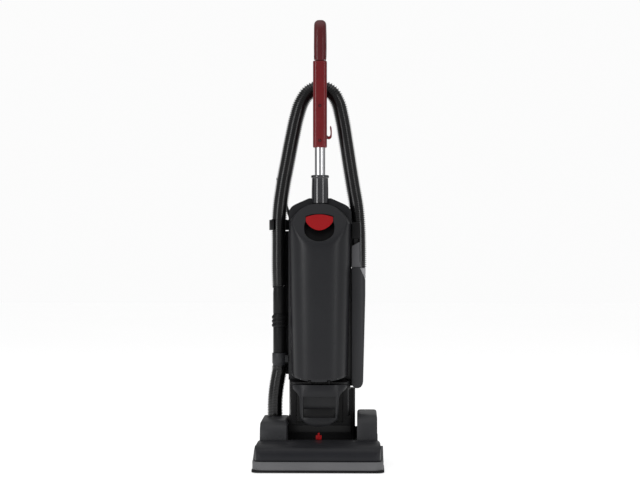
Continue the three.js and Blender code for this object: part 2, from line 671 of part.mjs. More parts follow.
function doorOutline(inset) {
  const low = door.halfLow - inset;
  const top = door.halfTop - inset;
  const rise = door.crown - door.spring;
  const radius = (door.halfTop ** 2 + rise ** 2) / (2 * rise) - inset;
  const centre = door.crown - inset - radius;
  const reach = Math.asin(top / radius);
  const shape = new THREE.Shape();
  shape.moveTo(-low, door.sideLow + inset);
  shape.quadraticCurveTo(0, 2 * (door.low + inset) - door.sideLow - inset, low, door.sideLow + inset);
  shape.lineTo(top, centre + radius * Math.cos(reach));
  shape.absarc(0, centre, radius, Math.PI / 2 - reach, Math.PI / 2 + reach);
  return shape;
}

// The door's front from the side: upright, then leaning back above the bend to its crown
function doorProfile(inset) {
  const front = body.front - 1 + inset;
  const low = body.low - beyond / 2;
  const top = door.crown + 1 - inset;
  const shape = new THREE.Shape();
  shape.moveTo(door.inside, low);
  shape.lineTo(door.inside, top);
  shape.lineTo(door.crownFront + inset, top);
  shape.lineTo(front + door.bendDepth, door.bend - inset);
  shape.quadraticCurveTo(front, door.bend - inset - 7, front, door.bendEnd - inset);
  shape.lineTo(front, low);
  return shape;
}

function doorBody(inset) {
  const plan = alongZ(bodyPlan(inset), 200, 720);
  const back = block(-beyond, beyond, door.back, beyond, 0, 800);
  return plan.intersect(alongY(doorOutline(inset), -beyond, beyond, 8))
    .intersect(alongX(doorProfile(inset), -beyond, beyond, 6)).subtract(back);
}

// A face with an arched top and a curved bottom, which grows by a margin
function archedFace(size, grow) {
  const half = size.halfWidth + grow;
  const side = size.side - grow;
  const shoulder = size.shoulder + grow;
  const shape = new THREE.Shape();
  shape.moveTo(-half, side);
  shape.quadraticCurveTo(0, 2 * (size.low - grow) - side, half, side);
  shape.lineTo(half, shoulder);
  shape.quadraticCurveTo(0, 2 * (size.high + grow) - shoulder, -half, shoulder);
  return shape;
}

function pocketCup(grow) {
  return alongY(archedFace(pocket, grow), -beyond, 0, 8)
    .intersect(doorBody(-pocket.reach * grow))
    .subtract(doorBody(pocket.depth + grow));
}

function makeDoor() {
  const openBottom = block(-door.halfLow + 8, door.halfLow - 8, door.lip, 0, door.low - 5, door.sideLow + 12)
    .intersect(doorBody(wall).translate(0, 0, -9));
  const hollow = join(doorBody(wall), doorBody(wall).translate(0, 2, 0), openBottom);
  const knuckle = (side) => {
    const left = side * doorPivot.knuckleX - doorPivot.knuckleHalf;
    const right = side * doorPivot.knuckleX + doorPivot.knuckleHalf;
    return join(
      rodX(doorPivot.knuckle, left, right, doorPivot.y, doorPivot.z, 16),
      block(left, right, body.front + 3, doorPivot.y, doorPivot.z - 4, doorPivot.z + 4),
    ).intersect(doorBody(1));
  };
  const boreHalf = doorPivot.pinHalf + 1;
  const pinBore = rodX(doorPivot.pin + runningGap, -boreHalf, boreHalf, doorPivot.y, doorPivot.z, 16);
  const notches = [-1, 1].map((side) => block(
    side * doorPivot.earX - doorPivot.notchHalf, side * doorPivot.earX + doorPivot.notchHalf,
    -beyond, lowerBody.shelfFront, 0, doorPivot.notchTop,
  ));
  const shell = join(cut(doorBody(0), hollow), knuckle(-1), knuckle(1));
  addToUpright('bag_door', cut(shell, pinBore, pocketCup(gap), ...notches), satinPlastic);
}

function makeDoorPin() {
  const pin = rodX(doorPivot.pin, -doorPivot.pinHalf, doorPivot.pinHalf, doorPivot.y, doorPivot.z, 16);
  addToUpright('door_hinge_pin', pin, steel);
}

function makeLatch() {
  const room = alongY(archedFace(pocket, -pocket.wall), -beyond, 0, 8)
    .subtract(doorBody(pocket.depth - pocket.wall));
  addToUpright('latch_pocket', cut(pocketCup(0), room), blackPlastic);
  const button = alongY(archedFace(latch, 0), -beyond, 0, 8)
    .intersect(doorBody(-latch.proud))
    .subtract(doorBody(latch.depth));
  addToUpright('door_latch', button, redPlastic);
}

// Upright: rear housing, seal, bag and dock

function housingOutline() {
  const side = body.halfWidth + 1;
  const pull = rear.shoulderPull;
  return curvedShape([
    [-side, body.low], [side, body.low], [side, rear.sideTop],
    [side, pull.side, pull.x, pull.top, rear.shoulderHalf, rear.shoulder],
    [rear.topHalf, rear.top], [-rear.topHalf, rear.top], [-rear.shoulderHalf, rear.shoulder],
    [-pull.x, pull.top, -side, pull.side, -side, rear.sideTop],
  ]);
}

function housingProfile(inset) {
  const back = body.back + 1 - inset;
  const top = rear.top - inset;
  return curvedShape([
    [-door.inside, body.low], [back, body.low], [back, rear.backTop],
    [back, top - rear.backPull, rear.topPull, top, rear.ridge, top], [-door.inside, top],
  ]);
}

function makeRearHousing() {
  const shell = alongZ(bodyPlan(0), body.low, rear.top + 1)
    .intersect(alongY(housingOutline(), rear.front, beyond))
    .intersect(alongX(housingProfile(0), -beyond, beyond));
  const fins = [hoseFin, holderFin].map((fin) => block(
    fin.left, fin.right, fin.front, fin.back, fin.low, fin.high,
  ));
  const bay = alongZ(bodyPlan(rear.wall), rear.floorTop, rear.top + 1)
    .intersect(join(
      alongY(doorOutline(rear.rim), -door.inside, rear.rimBack + 1, 8),
      alongY(doorOutline(rear.bayRim), rear.rimBack, beyond, 8),
    ))
    .intersect(alongX(housingProfile(rear.wall), -beyond, beyond));
  const socketBore = rodZ(socket.radius + gap, socket.low - gap, socket.high, 0, 0);
  const dockHole = rodX(dock.inner, dock.left - 1, beyond, dock.y, dock.z);
  const solid = cut(join(shell, ...fins), bay, socketBore, dockHole, airGrille());
  addToUpright('rear_housing', solid, blackPlastic);
}

function airGrille() {
  return join(...[-1, 0, 1].map((step) => block(
    step * grille.pitch - grille.halfBar, step * grille.pitch + grille.halfBar,
    grille.front, grille.back, grille.low, grille.high,
  )));
}

function makeSealAndBag() {
  const ring = alongY(doorOutline(2), door.back + gap, rear.front - gap, 8)
    .subtract(alongY(doorOutline(7), -beyond, beyond, 8));
  addToUpright('door_seal', ring, blackRubber);
  const sack = alongY(
    roundedOutline(-bag.halfWidth, bag.low, bag.halfWidth, bag.high, bag.round),
    bag.y - bag.halfDepth, bag.y + bag.halfDepth,
  );
  addToUpright('dust_bag', sack, paperFelt);
  const pipe = cut(
    rodX(dock.outer, dock.left, dock.right, dock.y, dock.z),
    rodX(dock.inner, dock.left - 1, dock.right + 1, dock.y, dock.z),
  );
  addToUpright('bag_dock', pipe, blackPlastic);
}

// Upright: lower body with the motor, the filter and its cover

function lowerProfile(inset) {
  const shape = new THREE.Shape();
  const front = lowerBody.front + inset;
  const radius = lowerBody.swing - inset;
  shape.moveTo(body.back - 1 - inset, pivot.z);
  shape.lineTo(body.back - 1 - inset, lowerBody.top - inset);
  if (inset === 0) {
    shape.lineTo(lowerBody.shelfFront, lowerBody.top);
    shape.lineTo(lowerBody.shelfFront, lowerBody.shelfLow);
    shape.lineTo(front, lowerBody.shelfLow);
  } else {
    shape.lineTo(front, lowerBody.top - inset);
  }
  shape.lineTo(front, lowerBody.low);
  shape.absarc(pivot.y, pivot.z, radius, Math.PI * lowerBody.swingStart, Math.PI * 2);
  return shape;
}

function lowerPlan(inset, low, high) {
  return alongZ(bodyPlan(body.halfWidth - lowerBody.halfWidth + inset), low, high);
}

function doorEar(side) {
  const left = side * doorPivot.earX - doorPivot.earHalf;
  const right = side * doorPivot.earX + doorPivot.earHalf;
  return join(
    block(left, right, doorPivot.y, lowerBody.shelfFront + 8, lowerBody.shelfLow + 1, doorPivot.z + 1),
    rodX(doorPivot.ear, left, right, doorPivot.y, doorPivot.z, 16),
  );
}

function makeMotorHousing() {
  const high = lowerBody.top + 20;
  const half = lowerBody.halfWidth;
  const outside = alongX(lowerProfile(0), -half, half, 9);
  const squareFoot = block(-beyond, beyond, -beyond, beyond, 0, lowerBody.squareTop);
  const shell = join(outside.intersect(lowerPlan(0, 0, high)), outside.intersect(squareFoot));
  const inside = alongX(lowerProfile(lowerBody.wall), -half + lowerBody.wall, half - lowerBody.wall, 9);
  const hollow = join(
    inside.intersect(squareFoot),
    inside.intersect(lowerPlan(lowerBody.wall, lowerBody.squareTop, high)),
  );
  const bosses = join(
    rodX(pivot.boss, leftPod.right - pod.wall - ear.clear - ear.thickness, -half + 1, pivot.y, pivot.z),
    rodX(pivot.boss, half - 1, boss.rightEnd, pivot.y, pivot.z),
  );
  const side = alongZ(
    roundedOutline(
      beltCover.left - 2 * beltCover.corner, beltCover.front, beltCover.right, beltCover.back,
      beltCover.corner,
    ),
    beltCover.low, beltCover.high,
  ).intersect(block(beltCover.left, beyond, -beyond, beyond, 0, beyond));
  const window = block(
    -filter.halfWidth - 1, filter.halfWidth + 1, lowerBody.front - 1, filter.back + 1,
    filter.low - 1, filter.high + 1,
  );
  const solid = cut(
    join(cut(shell, hollow), bosses, side, doorEar(-1), doorEar(1)),
    window,
    rodX(motor.shaft + 1.5, 0, beyond, pivot.y, pivot.z),
    rodX(doorPivot.pin + gap, -beyond, beyond, doorPivot.y, doorPivot.z, 16),
    airGrille(),
  );
  addToUpright('motor_housing', solid, blackPlastic);
}

function makeMotor() {
  const can = cut(
    rodX(motor.radius, motor.from, motor.to, pivot.y, pivot.z),
    rodX(motor.shaft + 1, motor.from - 1, motor.to + 1, pivot.y, pivot.z, 12),
  );
  addToUpright('motor_can', can, aluminium);
  const disc = rodX(motor.fan, motor.fanFrom, motor.fanTo, pivot.y, pivot.z);
  const bore = rodX(motor.shaft + gap, motor.fanFrom - 1, motor.fanTo + 1, pivot.y, pivot.z, 12);
  addToUpright('motor_fan', cut(disc, bore), aluminium);
  const shaft = join(
    rodX(motor.shaft, motor.fanFrom - 3, belt.to + 2, pivot.y, pivot.z, 12),
    rodX(belt.motorPulley, belt.from, belt.to, pivot.y, pivot.z, 16),
  );
  addToUpright('motor_shaft', shaft, steel);
}

function coverOutline() {
  const shape = new THREE.Shape();
  shape.moveTo(-cover.halfTop, cover.high);
  shape.bezierCurveTo(-cover.halfTop + 4, 200, -58, 198, -53, 182);
  shape.lineTo(-cover.halfLow, 124);
  shape.quadraticCurveTo(0, 2 * cover.low - 124, cover.halfLow, 124);
  shape.lineTo(53, 182);
  shape.bezierCurveTo(58, 198, cover.halfTop - 4, 200, cover.halfTop, cover.high);
  return shape;
}

function coverBody(inset) {
  const plan = lowerPlan(1 + inset, 90, cover.high);
  const back = inset > 0 ? cover.back + 1 : cover.back - gap;
  return plan.intersect(block(-beyond, beyond, -beyond, back, 0, cover.high - inset));
}

function makeFilterCover() {
  const face = alongY(coverOutline(), -beyond, beyond, 8);
  const outside = coverBody(0).intersect(face);
  const innerFace = block(-cover.halfLow + 3, cover.halfLow - 3, -beyond, beyond, 127, cover.high - wall);
  const inside = coverBody(wall).intersect(innerFace);
  const cup = block(
    -grab.halfWidth - grab.wall, grab.halfWidth + grab.wall, -beyond, body.front + grab.depth + 2 + grab.wall,
    grab.low - grab.wall, grab.high + grab.wall,
  ).intersect(coverBody(0)).intersect(face);
  const room = block(
    -grab.halfWidth, grab.halfWidth, -beyond, body.front + grab.depth + 2, grab.low, grab.high,
  );
  addToUpright('filter_cover', cut(join(cut(outside, inside), cup), room), satinPlastic);
  const tab = block(
    -grab.halfWidth + gap, grab.halfWidth - gap, -beyond, body.front + grab.depth - 6,
    grab.low + gap, grab.tabHigh,
  ).intersect(coverBody(1));
  addToUpright('filter_tab', tab, satinPlastic);
}

function makeFilter() {
  addToUpright('hepa_filter', block(
    -filter.halfWidth, filter.halfWidth, filter.front, filter.back, filter.low, filter.high,
  ), paperFelt);
}

// Upright: air duct and tool on the right

function toolSlot(low, high) {
  const halfWidth = tool.halfWidth + tool.slack;
  const halfDepth = tool.halfDepth + tool.slack;
  return block(
    tool.x - halfWidth, tool.x + halfWidth, tool.y - halfDepth, tool.y + halfDepth, low, high,
  );
}

function makeDuct() {
  const face = new THREE.Shape();
  face.moveTo(duct.inner, duct.low + duct.toe);
  face.quadraticCurveTo(duct.inner + 2, duct.low, duct.inner + duct.toe, duct.low);
  face.quadraticCurveTo(duct.outer - 8, duct.low, duct.outer - duct.heelIn, duct.low + duct.heel);
  face.lineTo(duct.outer, duct.shoulder - 40);
  face.lineTo(duct.outer, duct.shoulder);
  face.lineTo(holder.outer, duct.top);
  face.lineTo(duct.inner, duct.top);
  const outside = alongY(face, duct.front, duct.back)
    .intersect(alongZ(roundedOutline(40, duct.front, duct.outer, duct.back, duct.round), 0, duct.top + 1));
  const flange = block(
    ductFlange.left, duct.inner + 2, ductFlange.front, duct.back, ductFlange.low, ductFlange.high,
  );
  const hoseBore = rodZ(duct.bore, duct.boreLow, duct.top + 1, rightEnd.x, rightEnd.y, 16);
  const seat = rodZ(rightEnd.ring + 1, rightEnd.z - gap, duct.top + 1, rightEnd.x, rightEnd.y);
  const dockHole = rodX(dock.inner, dock.left, rightEnd.x, dock.y, dock.z, 16);
  const ringTop = rightEnd.z + rightEnd.height;
  const hoseRoom = rodZ(hose.radius + 2, ringTop - 1, duct.top + 1, rightEnd.x, rightEnd.y);
  const slot = toolSlot(tool.low - 2, duct.top + 1);
  const solid = cut(join(outside, flange), hoseBore, seat, hoseRoom, dockHole, slot);
  addToUpright('air_duct', solid, slatePlastic);
  const ring = turnedZ([
    [rightEnd.bore, rightEnd.z], [rightEnd.ring, rightEnd.z], [rightEnd.ring, ringTop],
    [rightEnd.bore, ringTop],
    [rightEnd.bore, rightEnd.z],
  ], rightEnd.x, rightEnd.y);
  addToUpright('duct_cuff', ring, greyPlastic);
}

function makeToolHolder() {
  const face = outline([
    [holder.inner, holder.low], [holder.outer, holder.low], [holder.outer, holder.outerTop],
    [holder.inner, holder.sideTop],
  ]);
  const outside = alongY(face, holder.front, holder.back);
  const railFoot = block(holder.outer - 1, rail.right, rail.front, rail.back, holder.low, rail.foot);
  const railBar = block(rail.left, rail.right, rail.front, rail.back, holder.low, rail.top);
  const solid = cut(join(outside, railFoot, railBar), toolSlot(0, rail.top));
  addToUpright('tool_holder', solid, greyPlastic);
  const blade = block(
    tool.x - tool.halfWidth, tool.x + tool.halfWidth, tool.y - tool.halfDepth, tool.y + tool.halfDepth,
    tool.low, tool.neck,
  );
  const head = block(
    tool.x - tool.headHalf, tool.x + tool.headHalf, tool.y - tool.headHalf, tool.y + tool.headHalf,
    tool.neck - 1, tool.top,
  );
  addToUpright('crevice_tool', join(blade, head), blackPlastic);
}

// Upright: hose port and plug-in tube on the left, and both hoses

function makePort() {
  const neck = port.radius - port.lip;
  const ring = turnedZ([
    [port.bore, port.low], [neck, port.low], [neck, port.low + port.lipTop],
    [port.radius, port.low + port.lipTop + 2], [port.radius, port.high], [port.bore, port.high],
    [port.bore, port.low],
  ], column.x, column.y);
  const arm = cut(
    block(
      column.x, -body.halfWidth + 6, column.y - port.armHalf, column.y + port.armHalf,
      port.armLow, port.armHigh,
    ),
    rodZ(port.radius - 2, port.low, port.high, column.x, column.y),
    alongZ(bodyPlan(-gap), port.low, port.high),
  );
  addToUpright('hose_port', join(ring, arm), slatePlastic);
}

function makePlugTube() {
  const pipe = turnedZ([
    [tube.bore, port.high + gap], [tube.radius, port.high + gap], [tube.radius, tube.high],
    [tube.bore, tube.high], [tube.bore, port.high + gap],
  ], column.x, column.y);
  addToUpright('hose_tube', pipe, blackPlastic);
  const pitch = (collar.high - collar.low) / collar.ribs;
  const valley = collar.radius - collar.valley;
  const inner = tube.radius + gap;
  const profile = [[inner, collar.low]];
  for (let rib = 0; rib < collar.ribs; rib += 1) {
    const low = collar.low + rib * pitch;
    profile.push([valley, low], [collar.radius, low + 2], [collar.radius, low + pitch - collar.land]);
    profile.push([valley, low + pitch - 1]);
  }
  profile.push([valley, collar.high], [inner, collar.high], [inner, collar.low]);
  addToUpright('ribbed_collar', turnedZ(profile, column.x, column.y), blackPlastic);
  const top = cuff.high - gap;
  const bandLow = cuff.high - cuff.band;
  const sleeveCuff = turnedZ([
    [cuff.bore, cuff.low], [cuff.radius, cuff.low], [cuff.radius - 1, bandLow],
    [cuff.radius + cuff.bandRise, bandLow], [cuff.radius + cuff.bandRise, top], [cuff.bore, top],
    [cuff.bore, cuff.low],
  ], column.x, column.y);
  addToUpright('hose_cuff', sleeveCuff, blackPlastic);
}

function makeHoses() {
  const long = swept(hoseRoute, ringShape(hose.radius, 0, hose.sides), hose.steps);
  addToUpright('stretch_hose', long, hosePlastic);
  const section = ringShape(lowerHose.radius, lowerHose.bore, hose.sides);
  addToUpright('lower_hose', swept(lowerHoseRoute, section, lowerHose.steps), hosePlastic);
}

function makeHoseHolders() {
  const ring = cut(
    rodZ(clip.outer, clip.low, clip.high, clip.x, clip.y),
    rodZ(clip.inner, clip.low - 1, clip.high + 1, clip.x, clip.y),
    block(clip.mouthLeft, clip.mouthRight, -beyond, clip.y - 14, clip.low - 1, clip.high + 1),
    alongZ(bodyPlan(-gap), clip.low - 1, clip.high + 1),
  );
  addToUpright('hose_clip', ring, blackPlastic);
  const section = ringShape(hookRod.radius, 0, hookRod.sides);
  addToUpright('hose_hook', swept(hookRoute, section, hookRod.steps), greyPlastic);
}

// Upright: socket, tube and handle

function makeSocket() {
  const rimLow = socket.high - socket.rimDrop;
  const cup = turnedZ([
    [0, socket.low], [socket.radius, socket.low], [socket.radius, socket.taper], [socket.radius - 1, rimLow],
    [socket.rim - 1, rimLow + 1], [socket.rim - 1, socket.high - 1], [socket.rim - 3, socket.high],
    [0, socket.high],
  ], 0, 0);
  const bore = rodZ(stem.radius + stem.gap, stem.low - gap, socket.high + 1, 0, 0);
  addToUpright('handle_socket', cut(cup, bore), blackPlastic);
}

function screwHole(z, radius, front, back) {
  return rodY(radius, front, back, 0, z, screw.sides);
}

function makeStem() {
  const outside = rodZ(stem.radius, stem.low, stem.high, 0, 0);
  const inside = rodZ(stem.radius - stem.wall, stem.low - 1, stem.high + 1, 0, 0);
  const holes = Object.values(screwHeights).map(
    (z) => screwHole(z, screw.shank + gap, -stem.radius - 1, screw.tip + 1),
  );
  addToUpright('handle_tube', cut(outside, inside, ...holes), chromeTube);
}

function sleeveBody() {
  const plan = roundedOutline(
    -sleeve.halfWidth, -sleeve.halfDepth, sleeve.halfWidth, sleeve.halfDepth, sleeve.round,
  );
  return alongZ(plan, sleeve.low, sleeve.high);
}

function makeSleeve() {
  const front = -sleeve.halfDepth;
  const outer = front - beyond;
  const bore = rodZ(stem.radius + stem.gap, 0, stem.high + 1, 0, 0);
  const holes = Object.values(screwHeights).flatMap((z) => [
    screwHole(z, screw.head + gap, outer, front + screw.depth),
    screwHole(z, screw.shank + gap, outer, screw.tip + 1),
  ]);
  const half = gap / 2;
  const behind = block(-beyond, beyond, -half, beyond, 0, loop.top);
  addToUpright('handle_sleeve_front', cut(sleeveBody(), bore, ...holes, behind), redPlastic);
  const switchRoom = block(
    -rocker.halfWidth - runningGap, rocker.halfWidth + runningGap,
    sleeve.halfDepth - rocker.wellDepth, beyond,
    rocker.z - rocker.halfLength - 1, rocker.z + rocker.halfLength + 1,
  );
  const ahead = block(-beyond, beyond, -beyond, half, 0, loop.top);
  addToUpright('handle_sleeve_rear', cut(sleeveBody(), bore, switchRoom, ahead), redPlastic);
  for (const [word, z] of Object.entries(screwHeights)) {
    const floor = front + screw.depth;
    const head = rodY(screw.head, floor - screw.headHeight, floor - gap, 0, z, screw.sides);
    const shank = rodY(screw.shank, floor - 1, screw.tip, 0, z, screw.sides);
    addToUpright(`sleeve_screw_${word}`, join(head, shank), steel);
  }
}

// A shape from a start point and straight or Bezier steps
function curvedShape([start, ...steps]) {
  const shape = new THREE.Shape();
  shape.moveTo(...start);
  for (const step of steps) {
    if (step.length === 2) shape.lineTo(...step);
    else shape.bezierCurveTo(...step);
  }
  return shape;
}

function makeLoop() {
  const geometry = new THREE.ExtrudeGeometry(curvedShape(loopOutline), {
    depth: 2 * (loop.halfWidth - loop.round), bevelThickness: loop.round, bevelSize: loop.round,
    bevelOffset: -loop.round, bevelSegments: 3, curveSegments: 6,
  });
  const turn = new THREE.Matrix4().makeBasis(
    new THREE.Vector3(0, 1, 0), new THREE.Vector3(0, 0, 1), new THREE.Vector3(1, 0, 0),
  );
  geometry.applyMatrix4(turn).translate(loop.round - loop.halfWidth, 0, 0);
  const opening = alongX(curvedShape(handOutline), -beyond, beyond, 6);
  addToUpright('handle_loop', cut(solidOf(geometry), opening), gripPlastic);
}

function makeHandleFittings() {
  const root = sleeve.halfDepth + gap;
  const cradle = outline([
    [root, saddle.front], [root, saddle.high], [saddle.back - 8, saddle.high], [saddle.back - 5, saddle.lip],
    [saddle.back, saddle.lip], [saddle.back - 1, saddle.low + 4], [saddle.back - saddle.rise, saddle.low],
    [root + saddle.lean, saddle.low - 2],
  ]);
  addToUpright('hose_saddle', alongX(cradle, -saddle.halfWidth, saddle.halfWidth), redPlastic);
  const jay = outline(hookPoints.map(([u, v]) => [u + hook.x, v]));
  addToUpright('cord_hook', alongY(jay, -hook.halfDepth, hook.halfDepth), redPlastic);
  const face = sleeve.halfDepth;
  const paddle = outline([
    [face - rocker.sink, rocker.z - rocker.halfLength], [face + 1, rocker.z - rocker.halfLength],
    [face - 0.5, rocker.z], [face + 2.5, rocker.z + rocker.halfLength],
    [face - rocker.sink + 1, rocker.z + rocker.halfLength],
  ]);
  addToUpright('power_switch', alongX(paddle, -rocker.halfWidth, rocker.halfWidth), blackPlastic);
}

function makeRearFittings() {
  const wallBack = body.back + gap;
  const shape = outline(cleat.points.map(([u, v]) => [u + wallBack, v]));
  addToUpright('lower_cord_hook', alongX(shape, -cleat.halfWidth, cleat.halfWidth), blackPlastic);
  const knob = rodY(gland.radius, wallBack, wallBack + gland.length, 0, gland.z, 16);
  addToUpright('cord_gland', knob, blackPlastic);
}

makeFloorStrip();
makeBumper();
makeBaseFrame();
makeSolePlate();
makeHood();
makePods();
makeSuctionDuct();
makePivotBushes();
makePedal();
makeWheels();
makeRollers();
makeHeightSlider();
makeBrushRoll();
makeBelt();
makeMotorHousing();
makeMotor();
makeFilter();
makeFilterCover();
makeRearHousing();
makeSealAndBag();
makeDoor();
makeDoorPin();
makeLatch();
makeDuct();
makeToolHolder();
makePort();
makePlugTube();
makeHoses();
makeHoseHolders();
makeSocket();
makeStem();
makeSleeve();
makeLoop();
makeHandleFittings();
makeRearFittings();

export default cleaner;
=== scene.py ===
import json
import math

import bmesh
import bpy
from mathutils import Matrix, Vector


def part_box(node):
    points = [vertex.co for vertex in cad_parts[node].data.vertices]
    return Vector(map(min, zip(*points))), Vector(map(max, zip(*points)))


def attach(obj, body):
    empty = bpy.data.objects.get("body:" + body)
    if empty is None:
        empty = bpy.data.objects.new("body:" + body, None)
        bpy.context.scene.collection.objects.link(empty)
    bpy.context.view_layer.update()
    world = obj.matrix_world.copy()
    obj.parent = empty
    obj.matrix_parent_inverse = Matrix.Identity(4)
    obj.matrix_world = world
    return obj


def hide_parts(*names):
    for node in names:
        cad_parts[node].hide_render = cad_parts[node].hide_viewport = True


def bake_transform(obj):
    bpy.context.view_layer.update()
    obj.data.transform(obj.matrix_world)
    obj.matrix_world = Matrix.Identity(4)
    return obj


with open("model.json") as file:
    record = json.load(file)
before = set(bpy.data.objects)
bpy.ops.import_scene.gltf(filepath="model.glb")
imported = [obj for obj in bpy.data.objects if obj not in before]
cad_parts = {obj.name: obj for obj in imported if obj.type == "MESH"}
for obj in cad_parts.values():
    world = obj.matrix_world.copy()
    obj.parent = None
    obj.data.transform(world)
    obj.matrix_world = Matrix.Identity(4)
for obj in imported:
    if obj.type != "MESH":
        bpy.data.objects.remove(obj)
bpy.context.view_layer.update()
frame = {"nodes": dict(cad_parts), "record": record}
record = frame["record"]
bodyOfNode = {node: body for body, nodes in record["behaviour"]["bodies"].items() for node in nodes}
bpy.ops.object.select_all(action="DESELECT")


def corners(node):
    low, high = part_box(node)
    return Vector(low), Vector(high)


def middle(node):
    low, high = corners(node)
    return (low + high) / 2


handleY = middle("handle_tube").y        # the plane that the handle stands in
print("frame loaded")

# ---- camera ----
cameraSet = {"distance": 4.5, "turn": 1.4, "height": 0.583, "lens": 92.6}


def makeCamera():
    turn = math.radians(cameraSet["turn"])
    reach = cameraSet["distance"]
    place = (reach * math.sin(turn), handleY - reach * math.cos(turn), cameraSet["height"])
    bpy.ops.object.camera_add(location=place, rotation=(math.pi / 2, 0, turn))
    camera = bpy.context.object
    camera.data.lens = cameraSet["lens"]
    camera.data.sensor_width = 36
    camera.data.dof.use_dof = False
    bpy.context.scene.camera = camera
    camera.select_set(False)


makeCamera()

# ---- small tools ----


def soloSelect(piece):
    bpy.ops.object.select_all(action="DESELECT")
    piece.select_set(True)
    bpy.context.view_layer.objects.active = piece


def named(name):
    piece = bpy.context.object
    piece.name = name
    piece.data.name = name
    return piece


def settle(piece):        # place, turn and scale go into the mesh
    soloSelect(piece)
    bpy.ops.object.transform_apply(location=True, rotation=True, scale=True)


def modify(piece, kind, **settings):
    soloSelect(piece)
    step = piece.modifiers.new(kind.lower(), kind)
    for key, value in settings.items():
        setattr(step, key, value)
    bpy.ops.object.modifier_apply(modifier=step.name)


def carve(piece, other, how="DIFFERENCE"):
    modify(piece, "BOOLEAN", operation=how, object=other, solver="EXACT")
    bpy.data.objects.remove(other, do_unlink=True)


def copyOf(piece, name):
    twin = piece.copy()
    twin.data = piece.data.copy()
    twin.name = name
    bpy.context.collection.objects.link(twin)
    return twin


def selectWhere(piece, mode, test):        # edit mode, with just the parts that pass the test selected
    soloSelect(piece)
    bpy.ops.object.mode_set(mode="EDIT")
    bpy.ops.mesh.select_mode(type=mode)
    bpy.ops.mesh.select_all(action="DESELECT")
    mesh = bmesh.from_edit_mesh(piece.data)
    for part in {"VERT": mesh.verts, "EDGE": mesh.edges, "FACE": mesh.faces}[mode]:
        if test(part):
            part.select_set(True)
    mesh.select_flush_mode()
    bmesh.update_edit_mesh(piece.data)


def leaveEdit():
    bpy.ops.object.mode_set(mode="OBJECT")


def tidyMesh(piece, distance=1e-5):
    selectWhere(piece, "VERT", lambda vert: True)
    bpy.ops.mesh.select_all(action="SELECT")
    bpy.ops.mesh.remove_doubles(threshold=distance)
    bpy.ops.mesh.normals_make_consistent(inside=False)
    leaveEdit()


def smooth(piece, angle=32):
    soloSelect(piece)
    bpy.ops.object.shade_smooth_by_angle(angle=math.radians(angle))


def roundEdges(piece, width, segments=3, angle=40):
    modify(
        piece, "BEVEL", width=width, segments=segments, limit_method="ANGLE",
        angle_limit=math.radians(angle), use_clamp_overlap=True, harden_normals=False,
    )


def box(name, left, right, front, back, low, high):
    centre = ((left + right) / 2, (front + back) / 2, (low + high) / 2)
    bpy.ops.mesh.primitive_cube_add(size=1, location=centre, scale=(right - left, back - front, high - low))
    piece = named(name)
    settle(piece)
    return piece


turns = {"x": (0, math.pi / 2, 0), "y": (math.pi / 2, 0, 0), "z": (0, 0, 0)}


def rod(name, axis, radius, start, end, centre, sides=48):
    place = Vector(centre)
    place["xyz".index(axis)] = (start + end) / 2
    bpy.ops.mesh.primitive_cylinder_add(
        vertices=sides, radius=radius, depth=end - start, location=place, rotation=turns[axis],
    )
    piece = named(name)
    settle(piece)
    return piece


# A flat outline with its edges rounded over. Points are (u, v, "c") at a corner and (u, v, "s") on a curve
def plate(name, outlines, start, end, plane, rounding=0.0, steps=4, smoothness=10):
    curve = bpy.data.curves.new(name, "CURVE")
    curve.dimensions = "2D"
    curve.fill_mode = "BOTH"
    curve.resolution_u = smoothness
    curve.extrude = (end - start) / 2 - rounding
    curve.bevel_depth = rounding
    curve.bevel_resolution = steps
    curve.offset = -rounding
    for points in outlines:
        spline = curve.splines.new("BEZIER")
        spline.bezier_points.add(len(points) - 1)
        spline.use_cyclic_u = True
        for knot, (u, v, kind) in zip(spline.bezier_points, points):
            knot.co = (u, v, 0)
            knot.handle_left_type = knot.handle_right_type = "VECTOR" if kind == "c" else "AUTO"
    piece = bpy.data.objects.new(name, curve)
    bpy.context.collection.objects.link(piece)
    across = (start + end) / 2
    spin = {
        "XZ": Matrix.Translation((0, across, 0)) @ Matrix.Rotation(math.pi / 2, 4, "X"),
        "YZ": Matrix(((0, 0, 1, across), (1, 0, 0, 0), (0, 1, 0, 0), (0, 0, 0, 1))),
    }[plane]
    piece.matrix_world = spin
    soloSelect(piece)
    bpy.ops.object.convert(target="MESH")
    piece = named(name)
    settle(piece)
    tidyMesh(piece)
    return piece


# A copy of a frame node's shape with its edges rounded over
def refined(node, name, width=0.0008, segments=2, angle=40, smoothAngle=32):
    piece = copyOf(frame["nodes"][node], name)
    piece.parent = None
    piece.matrix_world = Matrix.Identity(4)
    piece.data.materials.clear()
    tidyMesh(piece, 2e-5)
    selectWhere(piece, "FACE", lambda face: True)
    bpy.ops.mesh.dissolve_limited(angle_limit=math.radians(1))
    leaveEdit()
    if width > 0:
        roundEdges(piece, width, segments, angle)
    smooth(piece, smoothAngle)
    return piece


def fit(piece, finish, *nodes):        # rides where its frame node rides and stands for it
    piece.data.materials.clear()
    piece.data.materials.append(finish)
    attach(piece, bodyOfNode[nodes[0]])
    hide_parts(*nodes)


# ---- materials ----


